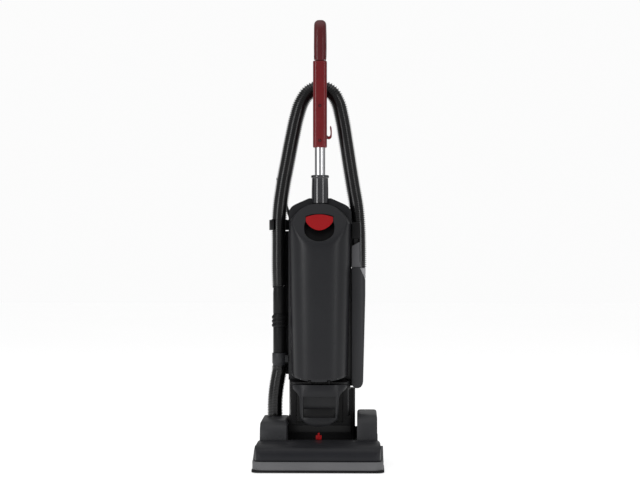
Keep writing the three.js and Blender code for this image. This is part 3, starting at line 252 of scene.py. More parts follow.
class Signal:        # one output in a shader, so that maths is written as maths
    def __init__(self, finish, socket):
        self.finish = finish
        self.socket = socket

    def combine(self, operation, first, second=0.0):
        return self.finish.node("ShaderNodeMath", {"operation": operation}, {0: first, 1: second})

    def __add__(self, other):
        return self.combine("ADD", self, other)

    def __radd__(self, other):
        return self.combine("ADD", other, self)

    def __sub__(self, other):
        return self.combine("SUBTRACT", self, other)

    def __rsub__(self, other):
        return self.combine("SUBTRACT", other, self)

    def __mul__(self, other):
        return self.combine("MULTIPLY", self, other)

    def __rmul__(self, other):
        return self.combine("MULTIPLY", other, self)

    def __pow__(self, other):
        return self.combine("POWER", self, other)

    def clamp(self):
        return self.combine("MINIMUM", self.combine("MAXIMUM", self, 0.0), 1.0)


class Finish:        # a material under construction
    def __init__(self, name):
        self.material = bpy.data.materials.new(name)
        self.material.use_nodes = True
        self.tree = self.material.node_tree
        self.shader = self.tree.nodes["Principled BSDF"]
        self.place = self.node("ShaderNodeTexCoord", {}, {}, "Object")

    def node(self, kind, settings, inputs, output=0):
        made = self.tree.nodes.new(kind)
        for key, value in settings.items():
            setattr(made, key, value)
        for key, value in inputs.items():
            self.feed(made.inputs[key], value)
        return Signal(self, made.outputs[output])

    def feed(self, socket, value):
        if isinstance(value, Signal):
            self.tree.links.new(value.socket, socket)
        else:
            socket.default_value = value

    def set(self, **values):
        for key, value in values.items():
            self.feed(self.shader.inputs[key.replace("_", " ")], value)

    def noise(self, scale, detail=3.0, roughness=0.5):
        settings = {"Vector": self.place, "Scale": scale, "Detail": detail, "Roughness": roughness}
        return self.node("ShaderNodeTexNoise", {}, settings)

    def blend(self, amount, first, second):
        inputs = {0: amount, 6: first, 7: second}
        return self.node("ShaderNodeMix", {"data_type": "RGBA"}, inputs, 2)

    def bump(self, height, strength, distance):
        inputs = {"Height": height, "Strength": strength, "Distance": distance}
        self.set(Normal=self.node("ShaderNodeBump", {}, inputs))

    def upward(self):        # 1 on what faces up
        normal = self.node("ShaderNodeNewGeometry", {}, {}, "Normal")
        return self.node("ShaderNodeSeparateXYZ", {}, {0: normal}, "Z").clamp()


def shade(red, green, blue):
    return (red, green, blue, 1.0)


# Moulded plastic and rubber: a fine grain, cloudy gloss and a little dust on what faces up
def moulded(
    name, colour, gloss, grain=1400, grainDepth=0.00004, grainStrength=0.35, dust=0.06, coat=0.0, shine=0.22,
):
    made = Finish(name)
    cloud = made.noise(9.0, 4.0)
    speck = made.noise(grain, 2.0, 0.6)
    smear = made.noise(38.0, 5.0, 0.65)
    light = shade(*(min(1.0, part * 1.22 + 0.002) for part in colour))
    dark = shade(*(part * 0.84 for part in colour))
    body = made.blend(cloud, dark, light)
    dustiness = (made.upward() ** 3.0) * smear * dust
    made.set(Base_Color=made.blend(dustiness, body, shade(0.32, 0.31, 0.29)))
    made.set(Roughness=(gloss + (smear - 0.5) * 0.16 + (speck - 0.5) * 0.08 + dustiness).clamp())
    made.set(Coat_Weight=coat, Coat_Roughness=0.12, Specular_IOR_Level=shine)
    made.bump(speck, grainStrength, grainDepth)
    return made.material


def metal(name, colour, gloss, streak=0.0, axis=2):
    made = Finish(name)
    stretch = [260.0, 260.0, 260.0]
    stretch[axis] = 6.0
    drawn = made.node("ShaderNodeMapping", {}, {"Vector": made.place, "Scale": stretch})
    lines = made.node("ShaderNodeTexNoise", {}, {"Vector": drawn, "Scale": 1.0, "Detail": 3.0})
    stain = made.noise(26.0, 4.0)
    light = shade(*(min(1.0, part * 1.08) for part in colour))
    dark = shade(*(part * 0.86 for part in colour))
    made.set(Base_Color=made.blend(stain * 0.5 + lines * 0.5, dark, light))
    made.set(Metallic=1.0, Roughness=(gloss + (lines - 0.5) * streak + (stain - 0.5) * 0.05).clamp())
    made.bump(lines, 0.15 * (streak > 0) + 0.02, 0.00003)
    return made.material


blackPlastic = moulded("black plastic", (0.0045, 0.0045, 0.005), 0.40, dust=0.015, shine=0.16)
# painted shade: the darkest, least shiny black, given to the latch pocket so its recess reads as shade
pocketShadeBlack = moulded("pocket shade black plastic", (0.0022, 0.0022, 0.0025), 0.5, dust=0.01, shine=0.08)
satinPlastic = moulded("satin plastic", (0.0090, 0.0093, 0.0112), 0.36, 2200, 0.00002, 0.25, 0.01, shine=0.26)
hoodPlastic = moulded("hood plastic", (0.0095, 0.0098, 0.0125), 0.36, 2200, 0.00002, 0.25, 0.03, shine=0.20)
slatePlastic = moulded("slate plastic", (0.020, 0.0205, 0.023), 0.42, 1800, dust=0.03, shine=0.3)
greyPlastic = moulded("grey plastic", (0.085, 0.085, 0.09), 0.42, 1800, dust=0.03, shine=0.3)
paleGrey = moulded("pale grey plastic", (0.30, 0.30, 0.31), 0.4, 1800, dust=0.03, shine=0.3)
glossBlack = moulded("gloss black plastic", (0.006, 0.006, 0.009), 0.16, 900, 0.00001, 0.15, 0.01, 1.0, 0.5)
redPlastic = moulded("red plastic", (0.115, 0.004, 0.006), 0.26, 1200, 0.00001, 0.15, 0.005, 0.2, 0.25)
latchRed = moulded("latch red", (0.27, 0.004, 0.006), 0.36, 1200, 0.00001, 0.15, 0.0, 0.0, 0.12)
gripPlastic = moulded("grip plastic", (0.070, 0.004, 0.006), 0.34, 1000, 0.00003, 0.3, 0.01, 0.1, 0.3)
bumperRubber = moulded("bumper rubber", (0.105, 0.105, 0.11), 0.55, 1100, 0.00005, 0.4, 0.06, shine=0.3)
blackRubber = moulded("black rubber", (0.006, 0.006, 0.0065), 0.6, 800, 0.00006, 0.4, 0.03, shine=0.15)
wheelRubber = moulded("wheel rubber", (0.010, 0.010, 0.011), 0.62, 700, 0.00008, 0.5, 0.05, shine=0.2)
hosePlastic = moulded("hose plastic", (0.003, 0.003, 0.0035), 0.20, 1600, 0.00001, 0.15, 0.01, 0.3, 0.4)
bagPaper = moulded("bag paper", (0.52, 0.47, 0.38), 0.85, 420, 0.00012, 0.5, 0.02, shine=0.2)
# painted shade: the filter is coloured near black so the gaps beside the filter cover read as shade; the real
# filter is white paper
filterPaintedShade = moulded("filter painted shade", (0.02, 0.02, 0.02), 0.85, 520, 0.0001, 0.5, 0.02, shine=0.2)
brushFibre = moulded("brush fibre", (0.014, 0.014, 0.015), 0.7, 2600, 0.0002, 0.9, 0.05, shine=0.2)
chromeTube = metal("chrome tube", (0.78, 0.78, 0.80), 0.10)
steel = metal("plain steel", (0.50, 0.50, 0.52), 0.34, 0.2, 0)
aluminium = metal("cast aluminium", (0.60, 0.60, 0.62), 0.42, 0.12, 0)
print("materials made")

# ---- hoses ----
hoseSet = {
    "route": [
        (-0.111, 0.085, 0.4794), (-0.112, 0.084, 0.530), (-0.112, 0.083, 0.590), (-0.111, 0.085, 0.676),
        (-0.102, 0.092, 0.750), (-0.089, 0.102, 0.823), (-0.0755, 0.112, 0.895), (-0.064, 0.118, 0.947),
        (-0.050, 0.123, 0.988), (-0.028, 0.126, 1.016), (0.0, 0.127, 1.0245), (0.028, 0.127, 1.015),
        (0.047, 0.127, 0.987), (0.0585, 0.127, 0.946), (0.070, 0.126, 0.880), (0.080, 0.125, 0.815),
        (0.0905, 0.124, 0.750), (0.099, 0.123, 0.700), (0.104, 0.118, 0.640), (0.1056, 0.113, 0.590),
        (0.1058, 0.111, 0.560), (0.1058, 0.111, 0.5289),
    ],
    "pitch": 0.0056, "crest": 0.0214, "valley": 0.0180, "sides": 28,
}
lowerHoseSet = {
    "route": [
        (-0.123, 0.085, 0.1224), (-0.123, 0.085, 0.160), (-0.120, 0.085, 0.196), (-0.1145, 0.085, 0.230),
        (-0.1112, 0.085, 0.250), (-0.111, 0.085, 0.2616),
    ],
    "pitch": 0.0043, "crest": 0.0213, "valley": 0.0189, "sides": 28,
}


def routeCurve(name, points):
    curve = bpy.data.curves.new(name, "CURVE")
    curve.dimensions = "3D"
    curve.resolution_u = 14
    curve.twist_mode = "MINIMUM"
    spline = curve.splines.new("BEZIER")
    spline.bezier_points.add(len(points) - 1)
    for knot, place in zip(spline.bezier_points, points):
        knot.co = place
        knot.handle_left_type = knot.handle_right_type = "AUTO"
    guide = bpy.data.objects.new(name, curve)
    bpy.context.collection.objects.link(guide)
    return guide


def followed(guide):        # the curve's own line, as points
    line = copyOf(guide, "line")
    soloSelect(line)
    bpy.ops.object.convert(target="MESH")
    points = [tuple(vert.co) for vert in bpy.context.object.data.vertices]
    bpy.data.objects.remove(bpy.context.object, do_unlink=True)
    return points


# One rib turned about X, repeated to the curve's length and bent along it
def ribbedHose(name, spec):
    guide = routeCurve(name + "Route", spec["route"])
    path = followed(guide)
    length = sum((Vector(a) - Vector(b)).length for a, b in zip(path, path[1:]))
    count = round(length / spec["pitch"])
    pitch = length / count
    crest, valley = spec["crest"], spec["valley"]
    bpy.ops.object.select_all(action="DESELECT")
    bpy.ops.mesh.primitive_cylinder_add(
        vertices=spec["sides"], radius=valley, depth=pitch, end_fill_type="NOTHING",
        location=(pitch / 2, 0, 0), rotation=(0, math.pi / 2, 0),
    )
    piece = named(name)
    settle(piece)
    bpy.ops.object.mode_set(mode="EDIT")
    bpy.ops.mesh.select_all(action="SELECT")
    for share in (0.22, 0.41, 0.59, 0.78):
        bpy.ops.mesh.select_all(action="SELECT")
        bpy.ops.mesh.bisect(plane_co=(pitch * share, 0, 0), plane_no=(1, 0, 0))
    leaveEdit()
    selectWhere(piece, "VERT", lambda vert: pitch * 0.3 < vert.co.x < pitch * 0.7)
    bpy.ops.transform.resize(value=(1, crest / valley, crest / valley), center_override=(pitch / 2, 0, 0))
    leaveEdit()
    modify(
        piece, "ARRAY", fit_type="FIXED_COUNT", count=count, use_relative_offset=False,
        use_constant_offset=True, constant_offset_displace=(pitch, 0, 0),
        use_merge_vertices=True, merge_threshold=1e-5,
    )
    modify(piece, "CURVE", object=guide, deform_axis="POS_X")
    bpy.data.objects.remove(guide, do_unlink=True)
    smooth(piece, 50)
    return piece, path, length


stretchHose, stretchPath, stretchLength = ribbedHose("stretchHose", hoseSet)
fit(stretchHose, hosePlastic, "stretch_hose")
lowerHose = ribbedHose("lowerHose", lowerHoseSet)[0]
lowerHose.data.materials.append(hosePlastic)
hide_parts("lower_hose")
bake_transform(lowerHose)
print("hoses made, the long one", round(stretchLength, 3), "m")

# ---- turned pieces ----


# A closed profile of (radius, height) pairs, its points extruded one from another, then spun
def turned(name, profile, centre, sides=64, axis="z"):
    bpy.ops.object.select_all(action="DESELECT")
    bpy.ops.mesh.primitive_plane_add(size=0.001, location=(0, 0, 0))
    piece = named(name)
    selectWhere(piece, "VERT", lambda vert: vert.index > 0)
    bpy.ops.mesh.delete(type="VERT")
    bpy.ops.mesh.select_all(action="SELECT")
    mesh = bmesh.from_edit_mesh(piece.data)
    mesh.verts.ensure_lookup_table()
    mesh.verts[0].co = (profile[0][0], 0, profile[0][1])
    bmesh.update_edit_mesh(piece.data)
    for (radius, height), (newRadius, newHeight) in zip(profile, profile[1:]):
        move = (newRadius - radius, 0, newHeight - height)
        bpy.ops.mesh.extrude_region_move(TRANSFORM_OT_translate={"value": move})
    bpy.ops.mesh.select_all(action="SELECT")
    bpy.ops.mesh.spin(steps=sides, angle=2 * math.pi, center=(0, 0, 0), axis=(0, 0, 1))
    bpy.ops.mesh.select_all(action="SELECT")
    bpy.ops.mesh.remove_doubles(threshold=1e-6)
    bpy.ops.mesh.normals_make_consistent(inside=False)
    leaveEdit()
    if axis == "x":
        piece.rotation_euler = (0, math.pi / 2, 0)
    if axis == "y":
        piece.rotation_euler = (math.pi / 2, 0, 0)
    piece.location = centre
    settle(piece)
    return piece


def closed(profile):
    return profile + [profile[0]]


tubeSet = {"radius": 0.01425, "wall": 0.0015, "edge": 0.0004}


def makeHandleTube():
    low, high = corners("handle_tube")
    outer, inner, edge = tubeSet["radius"], tubeSet["radius"] - tubeSet["wall"], tubeSet["edge"]
    profile = [
        (outer - edge, low.z), (outer, low.z + edge), (outer, high.z - edge), (outer - edge, high.z),
        (inner, high.z), (inner, low.z),
    ]
    piece = turned("handleTube", closed(profile), (0, handleY, 0))
    smooth(piece)
    fit(piece, chromeTube, "handle_tube")


makeHandleTube()

socketSet = {"radius": 0.023, "waist": 0.0222, "rim": 0.0247, "floor": 0.0107}


def makeSocket():
    low, high = corners("handle_socket")
    radius, waist, rim = socketSet["radius"], socketSet["waist"], socketSet["rim"]
    bore = tubeSet["radius"] + 0.0004
    top = high.z
    profile = [
        (0.0, low.z), (radius - 0.001, low.z), (radius, low.z + 0.001), (radius, top - 0.040),
        (waist, top - 0.0095), (waist + 0.0002, top - 0.0085), (rim - 0.0006, top - 0.0078),
        (rim, top - 0.0070), (rim, top - 0.0022), (rim - 0.0008, top - 0.0008), (rim - 0.0024, top),
        (bore + 0.0016, top), (bore, top - 0.0016), (bore, low.z + socketSet["floor"]),
        (0.0, low.z + socketSet["floor"]),
    ]
    piece = turned("handleSocket", profile, (0, handleY, 0), 72)
    smooth(piece, 40)
    fit(piece, glossBlack, "handle_socket")


makeSocket()

columnSet = {"x": -0.111, "y": 0.085}


def makeColumn():        # what stands on the left: the plug-in tube, its collar and the hose's cuff
    centre = (columnSet["x"], columnSet["y"], 0)
    low, high = corners("hose_tube")
    tube = [
        (0.0145, low.z), (0.0170, low.z), (0.0174, low.z + 0.0006), (0.0174, high.z - 0.001),
        (0.0168, high.z), (0.0145, high.z),
    ]
    piece = turned("hoseTube", closed(tube), centre)
    smooth(piece, 40)
    fit(piece, blackPlastic, "hose_tube")
    low, high = corners("ribbed_collar")
    pitch = (high.z - low.z) / 3
    ribs = [(0.0178, low.z)]
    for rib in range(3):
        start = low.z + rib * pitch
        ribs += [
            (0.0190, start + 0.0003), (0.0204, start + 0.0012), (0.0210, start + 0.0026),
            (0.0210, start + pitch - 0.0042), (0.0204, start + pitch - 0.0028),
            (0.0190, start + pitch - 0.0020),
        ]
    ribs += [(0.0190, high.z - 0.0004), (0.0186, high.z), (0.0178, high.z)]
    piece = turned("ribbedCollar", closed(ribs), centre)
    smooth(piece, 40)
    fit(piece, blackPlastic, "ribbed_collar")
    low, high = corners("hose_cuff")
    cuff = [
        (0.0145, low.z), (0.0170, low.z), (0.0175, low.z + 0.0008), (0.0176, high.z - 0.020),
        (0.0168, high.z - 0.0050), (0.0185, high.z - 0.0040), (0.0190, high.z - 0.0032),
        (0.0190, high.z - 0.0008), (0.0184, high.z), (0.0145, high.z),
    ]
    piece = turned("hoseCuff", closed(cuff), centre)
    smooth(piece, 40)
    fit(piece, blackPlastic, "hose_cuff")
    low, high = corners("duct_cuff")
    spot = middle("duct_cuff")
    ring = [
        (0.0160, low.z), (0.0186, low.z), (0.0190, low.z + 0.0006), (0.0190, low.z + 0.0085),
        (0.0182, low.z + 0.0092), (0.0182, low.z + 0.0104), (0.0190, low.z + 0.0111),
        (0.0190, high.z - 0.0010), (0.0180, high.z), (0.0160, high.z),
    ]
    piece = turned("ductCuff", closed(ring), (spot.x, spot.y, 0))
    smooth(piece, 40)
    fit(piece, paleGrey, "duct_cuff")


makeColumn()
print("tube, socket and hose fittings made")

# ---- handle ----
loopSet = {
    "outer": [
        (-0.018, 1.0944, "c"), (0.052, 1.0944, "s"), (0.083, 1.112, "s"), (0.0905, 1.138, "s"),
        (0.081, 1.175, "s"), (0.057, 1.2005, "s"), (0.026, 1.2095, "s"), (-0.002, 1.199, "s"),
        (-0.0155, 1.164, "s"), (-0.018, 1.126, "s"),
    ],
    "hand": [
        (0.007, 1.123, "s"), (0.009, 1.150, "s"), (0.016, 1.172, "s"), (0.032, 1.180, "s"),
        (0.051, 1.173, "s"), (0.064, 1.155, "s"), (0.065, 1.136, "s"), (0.055, 1.122, "s"),
        (0.030, 1.118, "s"), (0.013, 1.118, "s"),
    ],
    "rounding": 0.0130,
}


def makeLoop():
    low, high = corners("handle_loop")
    outlines = [
        [(u + handleY, v, kind) for u, v, kind in loopSet["outer"]],
        [(u + handleY, v, kind) for u, v, kind in loopSet["hand"]],
    ]
    piece = plate("handleLoop", outlines, low.x, high.x, "YZ", loopSet["rounding"], 6, 14)
    smooth(piece, 40)
    fit(piece, gripPlastic, "handle_loop")


makeLoop()

sleeveSet = {"corner": 0.0110, "rim": 0.0030, "recess": 0.0046, "recessDepth": 0.0032}


def sleeveHalf(name, node, outerSide):
    low, high = corners(node)
    piece = box(name, low.x, high.x, low.y, high.y, low.z, high.z)
    outerY, innerY = (low.y, high.y) if outerSide < 0 else (high.y, low.y)
    selectWhere(piece, "EDGE", lambda edge: all(abs(vert.co.y - outerY) < 1e-5 for vert in edge.verts)
                and abs(edge.verts[0].co.z - edge.verts[1].co.z) > 0.1)
    bpy.ops.mesh.bevel(offset=sleeveSet["corner"], segments=10, affect="EDGES")
    leaveEdit()
    selectWhere(piece, "EDGE", lambda edge: abs(edge.verts[0].co.z - edge.verts[1].co.z) < 1e-6
                and not all(abs(vert.co.y - innerY) < 1e-5 for vert in edge.verts))
    bpy.ops.mesh.bevel(offset=sleeveSet["rim"], segments=3, affect="EDGES")
    leaveEdit()
    carve(piece, rod("bore", "z", tubeSet["radius"] + 0.0004, low.z - 0.01, high.z - 0.054, (0, handleY, 0)))
    return piece


def makeSleeves():
    front = sleeveHalf("handleSleeveFront", "handle_sleeve_front", -1)
    low, high = corners("handle_sleeve_front")
    for node in ("sleeve_screw_upper", "sleeve_screw_lower"):
        spot = middle(node)
        recess = rod("recess", "y", sleeveSet["recess"], low.y - 0.01, low.y + sleeveSet["recessDepth"], spot)
        carve(front, recess)
        carve(front, rod("shank", "y", 0.0023, low.y - 0.01, low.y + 0.02, spot, 24))
    smooth(front, 35)
    fit(front, redPlastic, "handle_sleeve_front")
    rear = sleeveHalf("handleSleeveRear", "handle_sleeve_rear", 1)
    low, high = corners("power_switch")
    carve(rear, box(
        "well", low.x - 0.0006, high.x + 0.0006, low.y - 0.003, high.y + 0.02, low.z - 0.001, high.z + 0.001,
    ))
    smooth(rear, 35)
    fit(rear, redPlastic, "handle_sleeve_rear")


makeSleeves()


# A screw: a domed head with a cross recess, on a plain shank
def makeScrew(name, node):
    low, high = corners(node)
    spot = middle(node)
    head = turned(name, [
        (0.0, 0.0), (0.0020, 0.0001), (0.0033, 0.0006), (0.0039, 0.0013), (0.0039, 0.0024), (0.0020, 0.0024),
        (0.0020, high.y - low.y), (0.0, high.y - low.y),
    ], (0, 0, 0), 36)
    head.rotation_euler = (-math.pi / 2, 0, 0)
    head.location = (spot.x, low.y, spot.z)
    settle(head)
    tidyMesh(head, 1e-6)
    for wide, tall in ((0.0022, 0.0005), (0.0005, 0.0022)):
        carve(head, box(
            "slot", spot.x - wide, spot.x + wide, low.y - 0.001, low.y + 0.0012, spot.z - tall, spot.z + tall,
        ))
    smooth(head, 35)
    return head


for word in ("upper", "lower"):
    screw = makeScrew("sleeveScrew" + word.title(), "sleeve_screw_" + word)
    fit(screw, gripPlastic, "sleeve_screw_" + word)

hookSet = {
    "outline": [
        (0.0, 0.8808, "c"), (0.006, 0.8800, "s"), (0.0115, 0.8842, "s"), (0.0130, 0.8935, "s"),
        (0.0110, 0.9152, "s"), (0.0095, 0.9160, "s"), (0.0081, 0.9148, "s"), (0.0092, 0.8945, "s"),
        (0.0075, 0.8892, "s"),
        (0.0040, 0.8880, "s"), (0.0, 0.8912, "c"),
    ],
    "rounding": 0.0011,
}


def makeCordHook():
    low, high = corners("cord_hook")
    outline = [(u + low.x, v, kind) for u, v, kind in hookSet["outline"]]
    piece = plate("cordHook", [outline], low.y, high.y, "XZ", hookSet["rounding"], 3, 8)
    smooth(piece, 40)
    fit(piece, redPlastic, "cord_hook")


makeCordHook()
print("handle made")

# ---- bag door, its latch and pocket ----
doorSet = {
    "back": 0.074, "depth": 0.0935, "halfLow": 0.0762, "halfTop": 0.0842, "low": 0.2242, "smile": 0.014,
    "spring": 0.650, "crown": 0.7038, "bend": 0.5943, "lean": 0.5655, "crease": 0.004, "fullness": 2.9,
    "around": 72, "wall": 0.0032, "earX": 0.026, "notchHalf": 0.0045, "notchBack": 0.0005, "notchTop": 0.2295,
}


# Rings drawn up from a circle, each one extruded from the last and then set to its own outline
def lofted(name, rings, cyclic=True):
    count = len(rings[0])
    bpy.ops.object.select_all(action="DESELECT")
    bpy.ops.mesh.primitive_circle_add(vertices=count, radius=0.1, fill_type="NOTHING")
    piece = named(name)
    bpy.ops.object.mode_set(mode="EDIT")
    bpy.ops.mesh.select_mode(type="VERT")
    mesh = bmesh.from_edit_mesh(piece.data)
    order = mesh.verts.layers.int.new("order")
    mesh.verts.ensure_lookup_table()
    for vert in mesh.verts:
        vert[order] = vert.index
        vert.co = rings[0][vert.index]
    if not cyclic:
        mesh.edges.ensure_lookup_table()
        for edge in list(mesh.edges):
            if {vert[order] for vert in edge.verts} == {0, count - 1}:
                mesh.edges.remove(edge)
    bmesh.update_edit_mesh(piece.data)
    bpy.ops.mesh.select_all(action="SELECT")
    for ring in rings[1:]:
        bpy.ops.mesh.extrude_region_move(TRANSFORM_OT_translate={"value": (0, 0, 0.001)})
        mesh = bmesh.from_edit_mesh(piece.data)
        order = mesh.verts.layers.int["order"]
        for vert in mesh.verts:
            if vert.select:
                vert.co = ring[vert[order]]
        bmesh.update_edit_mesh(piece.data)
    leaveEdit()
    return piece


# A U seen from above, from the left edge round the front, cut back above the bend by a leaning plane
def bow(half, grow, heightAt, spec):
    points = []
    back = spec["back"]
    depth = spec["depth"] + grow
    for step in range(spec["around"] + 1):
        angle = math.pi * step / spec["around"]
        power = 2 / spec["fullness"]
        x = -half * math.copysign(abs(math.cos(angle)) ** power, math.cos(angle))
        y = back - depth * abs(math.sin(angle)) ** power
        z = heightAt(x)
        leaning = back - depth + (z - spec["bend"]) * spec["lean"]
        y = (y + leaning + math.hypot(y - leaning, spec["crease"])) / 2
        points.append((x, min(y, back), z))
    return points


def domeRings(spec, grow=0.0):
    def smileAt(x):
        return spec["low"] - grow + spec["smile"] * (x / spec["halfLow"]) ** 2

    rings = []
    arch = spec["crown"] - spec["spring"]
    radius = (spec["halfTop"] ** 2 + arch ** 2) / (2 * arch)
    centre = spec["crown"] - radius

    straight = 60
    for step in range(straight + 1):
        share = step / straight
        half = spec["halfLow"] + (spec["halfTop"] - spec["halfLow"]) * share
        base = spec["low"] + spec["smile"]

        def heightAt(x, share=share, base=base):
            level = base + (spec["spring"] - base) * share
            return level + (smileAt(x) - base) * max(0.0, 1 - share * straight / 8)

        rings.append(bow(half + grow, grow, heightAt, spec))
    start = math.asin((spec["spring"] - centre) / radius)
    for step in range(1, 27):
        angle = start + (math.pi / 2 - start) * math.sin(step / 26 * math.pi / 2)
        z = centre + (radius + grow) * math.sin(angle)
        half = (radius + grow) * math.cos(angle)
        rings.append(bow(half, grow, lambda x, z=z: z, spec))
    return rings


def domeSolid(name, grow=0.0):        # the door's outside as one closed body
    rings = domeRings(doorSet, grow)
    floor = [(x, doorSet["back"], z) for x, y, z in rings[0]]
    piece = lofted(name, [floor] + rings, cyclic=False)
    tidyMesh(piece, 2e-5)
    selectWhere(piece, "EDGE", lambda edge: edge.is_boundary)
    bpy.ops.mesh.edge_face_add()
    leaveEdit()
    tidyMesh(piece, 1e-6)
    return piece


pocketSet = {
    "outline": [
        (-0.0372, 0.6690, "c"), (-0.0372, 0.6535, "s"), (-0.0395, 0.6480, "s"), (-0.0395, 0.6270, "s"),
        (-0.0365, 0.6185, "s"), (-0.0200, 0.6055, "s"), (0.0, 0.6008, "s"), (0.0200, 0.6055, "s"),
        (0.0365, 0.6185, "s"), (0.0395, 0.6270, "s"), (0.0395, 0.6480, "s"), (0.0372, 0.6535, "s"),
        (0.0372, 0.6690, "c"), (0.0190, 0.6734, "s"), (0.0, 0.6750, "s"), (-0.0190, 0.6734, "s"),
    ],
    "deep": 0.019, "wall": 0.0012,
}
latchSet = {
    "outline": [
        (-0.0362, 0.6668, "c"), (-0.0362, 0.6545, "s"), (-0.0330, 0.6488, "s"), (-0.0180, 0.6358, "s"),
        (0.0, 0.6307, "s"), (0.0180, 0.6358, "s"), (0.0330, 0.6488, "s"), (0.0362, 0.6545, "s"),
        (0.0362, 0.6668, "c"), (0.0180, 0.6718, "s"), (0.0, 0.6735, "s"), (-0.0180, 0.6718, "s"),
    ],
    "deep": 0.008, "proud": 0.0026, "edge": 0.0013,
}


def shifted(points, grow):        # an outline drawn out from its middle
    midV = sum(v for u, v, kind in points) / len(points)
    return [(u + math.copysign(grow, u) * (abs(u) > 0.001), v + math.copysign(grow, v - midV), kind)
            for u, v, kind in points]


def makeDoor():
    door = lofted("bagDoor", domeRings(doorSet), cyclic=False)
    tidyMesh(door, 2e-5)
    rimTop = doorSet["low"] + doorSet["smile"] + 0.0005

    def onRim(edge):        # the edge round the door's foot, without its upright ends
        start, end = (vert.co for vert in edge.verts)
        across = abs(start.x - end.x) + abs(start.y - end.y)
        return edge.is_boundary and max(start.z, end.z) < rimTop and across > 1e-6

    selectWhere(door, "EDGE", onRim)
    bpy.ops.mesh.extrude_region_move(TRANSFORM_OT_translate={"value": (0, 0, 0)})
    bpy.ops.transform.resize(value=(0.93, 0.93, 1.0), center_override=(0, doorSet["back"], 0.23))
    leaveEdit()
    modify(door, "SOLIDIFY", thickness=doorSet["wall"], offset=-1, use_even_offset=False, use_rim=True)
    opening = plate("opening", [shifted(pocketSet["outline"], 0.0003)], -0.1, 0.04, "XZ", 0.0, 1, 6)
    carve(door, opening)
    for side in (-1, 1):        # room for the hinge ears as the door swings down
        ear = side * doorSet["earX"]
        half = doorSet["notchHalf"]
        carve(door, box(
            "notch", ear - half, ear + half, -0.1, doorSet["notchBack"], 0.2, doorSet["notchTop"],
        ))
    roundEdges(door, 0.0009, 2, 50)
    smooth(door, 35)
    fit(door, satinPlastic, "bag_door")
    return door


# A slice of the dome inside an outline, with what lies deeper than the lower dome taken away
def slab(name, outline, grow, deep):
    piece = domeSolid(name, grow)
    carve(piece, plate("face", [outline], -0.1, doorSet["back"] - 0.002, "XZ", 0.0, 1, 8), "INTERSECT")
    core = domeSolid("core", grow - 0.0001)
    core.location.y = deep
    settle(core)
    carve(piece, core)
    return piece


def makePocketAndLatch():
    pocket = slab("latchPocket", pocketSet["outline"], -0.0003, pocketSet["deep"])
    inner = shifted(pocketSet["outline"], -pocketSet["wall"])
    room = slab("room", inner, 0.002, pocketSet["deep"] - pocketSet["wall"])
    carve(pocket, room)
    smooth(pocket, 35)
    # the pocket's extra-dark black is painted shade for the recess
    fit(pocket, pocketShadeBlack, "latch_pocket")
    button = slab("doorLatch", latchSet["outline"], latchSet["proud"], latchSet["deep"])
    roundEdges(button, latchSet["edge"], 3, 45)
    smooth(button, 35)
    fit(button, latchRed, "door_latch")


makeDoor()
makePocketAndLatch()
print("bag door, pocket and latch made")

# ---- shapes kept from the frame, with their edges rounded ----
roundedSet = {        # node: (name, finish, edge width, segments)
    "rear_housing": ("rearHousing", satinPlastic, 0.0030, 3),
    "motor_housing": ("motorHousing", blackPlastic, 0.0010, 2),
    "filter_cover": ("filterCover", satinPlastic, 0.0012, 2),
    "filter_tab": ("filterTab", blackPlastic, 0.0008, 2),
    "hood": ("hood", hoodPlastic, 0.0010, 2),
    "bumper": ("bumper", bumperRubber, 0.0012, 2),
    "floor_strip": ("floorStrip", blackRubber, 0.0008, 2),
    "left_housing": ("leftHousing", slatePlastic, 0.0016, 2),
    "right_housing": ("rightHousing", slatePlastic, 0.0016, 2),
    "air_duct": ("airDuct", slatePlastic, 0.0012, 2),
    "tool_holder": ("toolHolder", greyPlastic, 0.0010, 2),
    "crevice_tool": ("creviceTool", blackPlastic, 0.0016, 3),
    "hose_port": ("hosePort", slatePlastic, 0.0008, 2),
    "hose_clip": ("hoseClip", blackPlastic, 0.0008, 2),
    "hose_hook": ("hoseHook", blackPlastic, 0.0008, 2),
    "hose_saddle": ("hoseSaddle", redPlastic, 0.0012, 3),
    "release_pedal": ("releasePedal", greyPlastic, 0.0010, 2),
    "height_slider": ("heightSlider", latchRed, 0.0008, 2),
    "rear_wheel_left": ("rearWheelLeft", wheelRubber, 0.0016, 3),
    "rear_wheel_right": ("rearWheelRight", wheelRubber, 0.0016, 3),
    "lower_cord_hook": ("lowerCordHook", blackPlastic, 0.0008, 2),
    "cord_gland": ("cordGland", blackPlastic, 0.0010, 2),
    "power_switch": ("powerSwitch", blackPlastic, 0.0006, 2),
}
for node, (name, finish, width, segments) in roundedSet.items():
    fit(refined(node, name, width, segments), finish, node)
print("rounded pieces made")

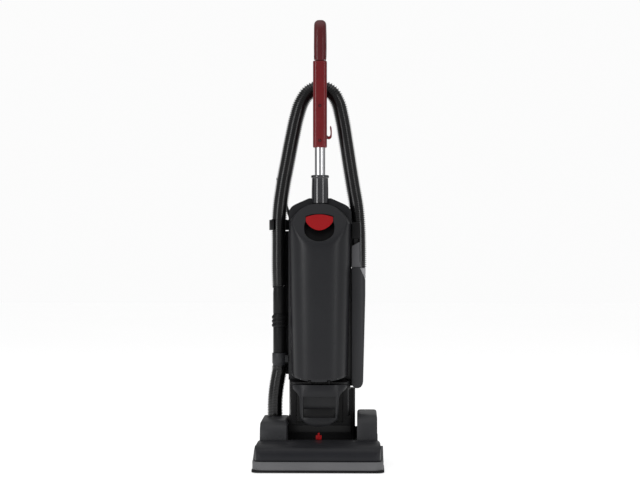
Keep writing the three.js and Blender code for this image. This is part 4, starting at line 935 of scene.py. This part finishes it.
# ---- frame nodes that stay, with finishes of their own ----
stayingFinish = {
    "base_frame": blackPlastic, "sole_plate": steel, "suction_duct": blackPlastic, "roller_carriage": steel,
    "pivot_bush_left": steel, "pivot_bush_right": steel, "brush_bearing_left": blackPlastic,
    "brush_bearing_right": blackPlastic, "drive_belt": blackRubber, "motor_can": aluminium,
    "motor_fan": aluminium, "motor_shaft": steel, "door_hinge_pin": steel, "door_seal": blackRubber,
    # hepa_filter takes the dark painted-shade filter colour
    "bag_dock": blackPlastic, "dust_bag": bagPaper, "hepa_filter": filterPaintedShade, "brush_roll": brushFibre,
    "front_roller_left": wheelRubber, "front_roller_right": wheelRubber,
}
for node, piece in frame["nodes"].items():
    if not piece.hide_render:
        finish = stayingFinish.get(node, blackPlastic)
        piece.data.materials.clear()
        piece.data.materials.append(finish)
print("frame nodes finished")

# ---- floor and light ----
lightSet = {
    "floor": 9.0, "seen": 0.97, "world": 0.42, "floorGlow": 0.62,
    "panels": [        # place, size, aimed at, power
        ((-2.1, -2.4, 1.5), (1.0, 2.6), (0, 0, 0.6), 34.0),
        ((2.2, -2.2, 1.3), (0.6, 2.4), (0, 0, 0.6), 16.0),
        ((0.0, -0.4, 3.4), (4.0, 3.0), (0, 0, 0.4), 26.0),
    ],
}


def makeFloorAndLight():
    bpy.ops.object.select_all(action="DESELECT")
    bpy.ops.mesh.primitive_plane_add(size=lightSet["floor"] * 2, location=(0, 4.0, 0))
    floor = named("floor")
    settle(floor)
    pale = Finish("pale floor")
    drift = pale.noise(0.8, 2.0)
    pale.set(Base_Color=pale.blend(drift, shade(0.80, 0.80, 0.80), shade(0.84, 0.84, 0.84)), Roughness=0.7)
    pale.set(Emission_Color=(1, 1, 1, 1), Emission_Strength=lightSet["floorGlow"])
    floor.data.materials.append(pale.material)
    world = bpy.data.worlds.new("pale room")
    bpy.context.scene.world = world
    world.use_nodes = True
    tree = world.node_tree
    light = tree.nodes["Background"]
    light.inputs["Color"].default_value = (1, 1, 1, 1)
    rays = tree.nodes.new("ShaderNodeLightPath")
    level = tree.nodes.new("ShaderNodeMapRange")
    level.inputs["To Min"].default_value = lightSet["world"]
    level.inputs["To Max"].default_value = lightSet["seen"]
    tree.links.new(rays.outputs["Is Camera Ray"], level.inputs["Value"])
    tree.links.new(level.outputs["Result"], light.inputs["Strength"])
    for place, size, target, power in lightSet["panels"]:
        bpy.ops.object.light_add(type="AREA", location=place)
        lamp = bpy.context.object
        lamp.data.shape = "RECTANGLE"
        lamp.data.size, lamp.data.size_y = size
        lamp.data.energy = power
        lamp.rotation_euler = (Vector(target) - Vector(place)).to_track_quat("-Z", "Y").to_euler()
    bpy.context.scene.view_settings.view_transform = "Standard"


makeFloorAndLight()
print("floor and light made")
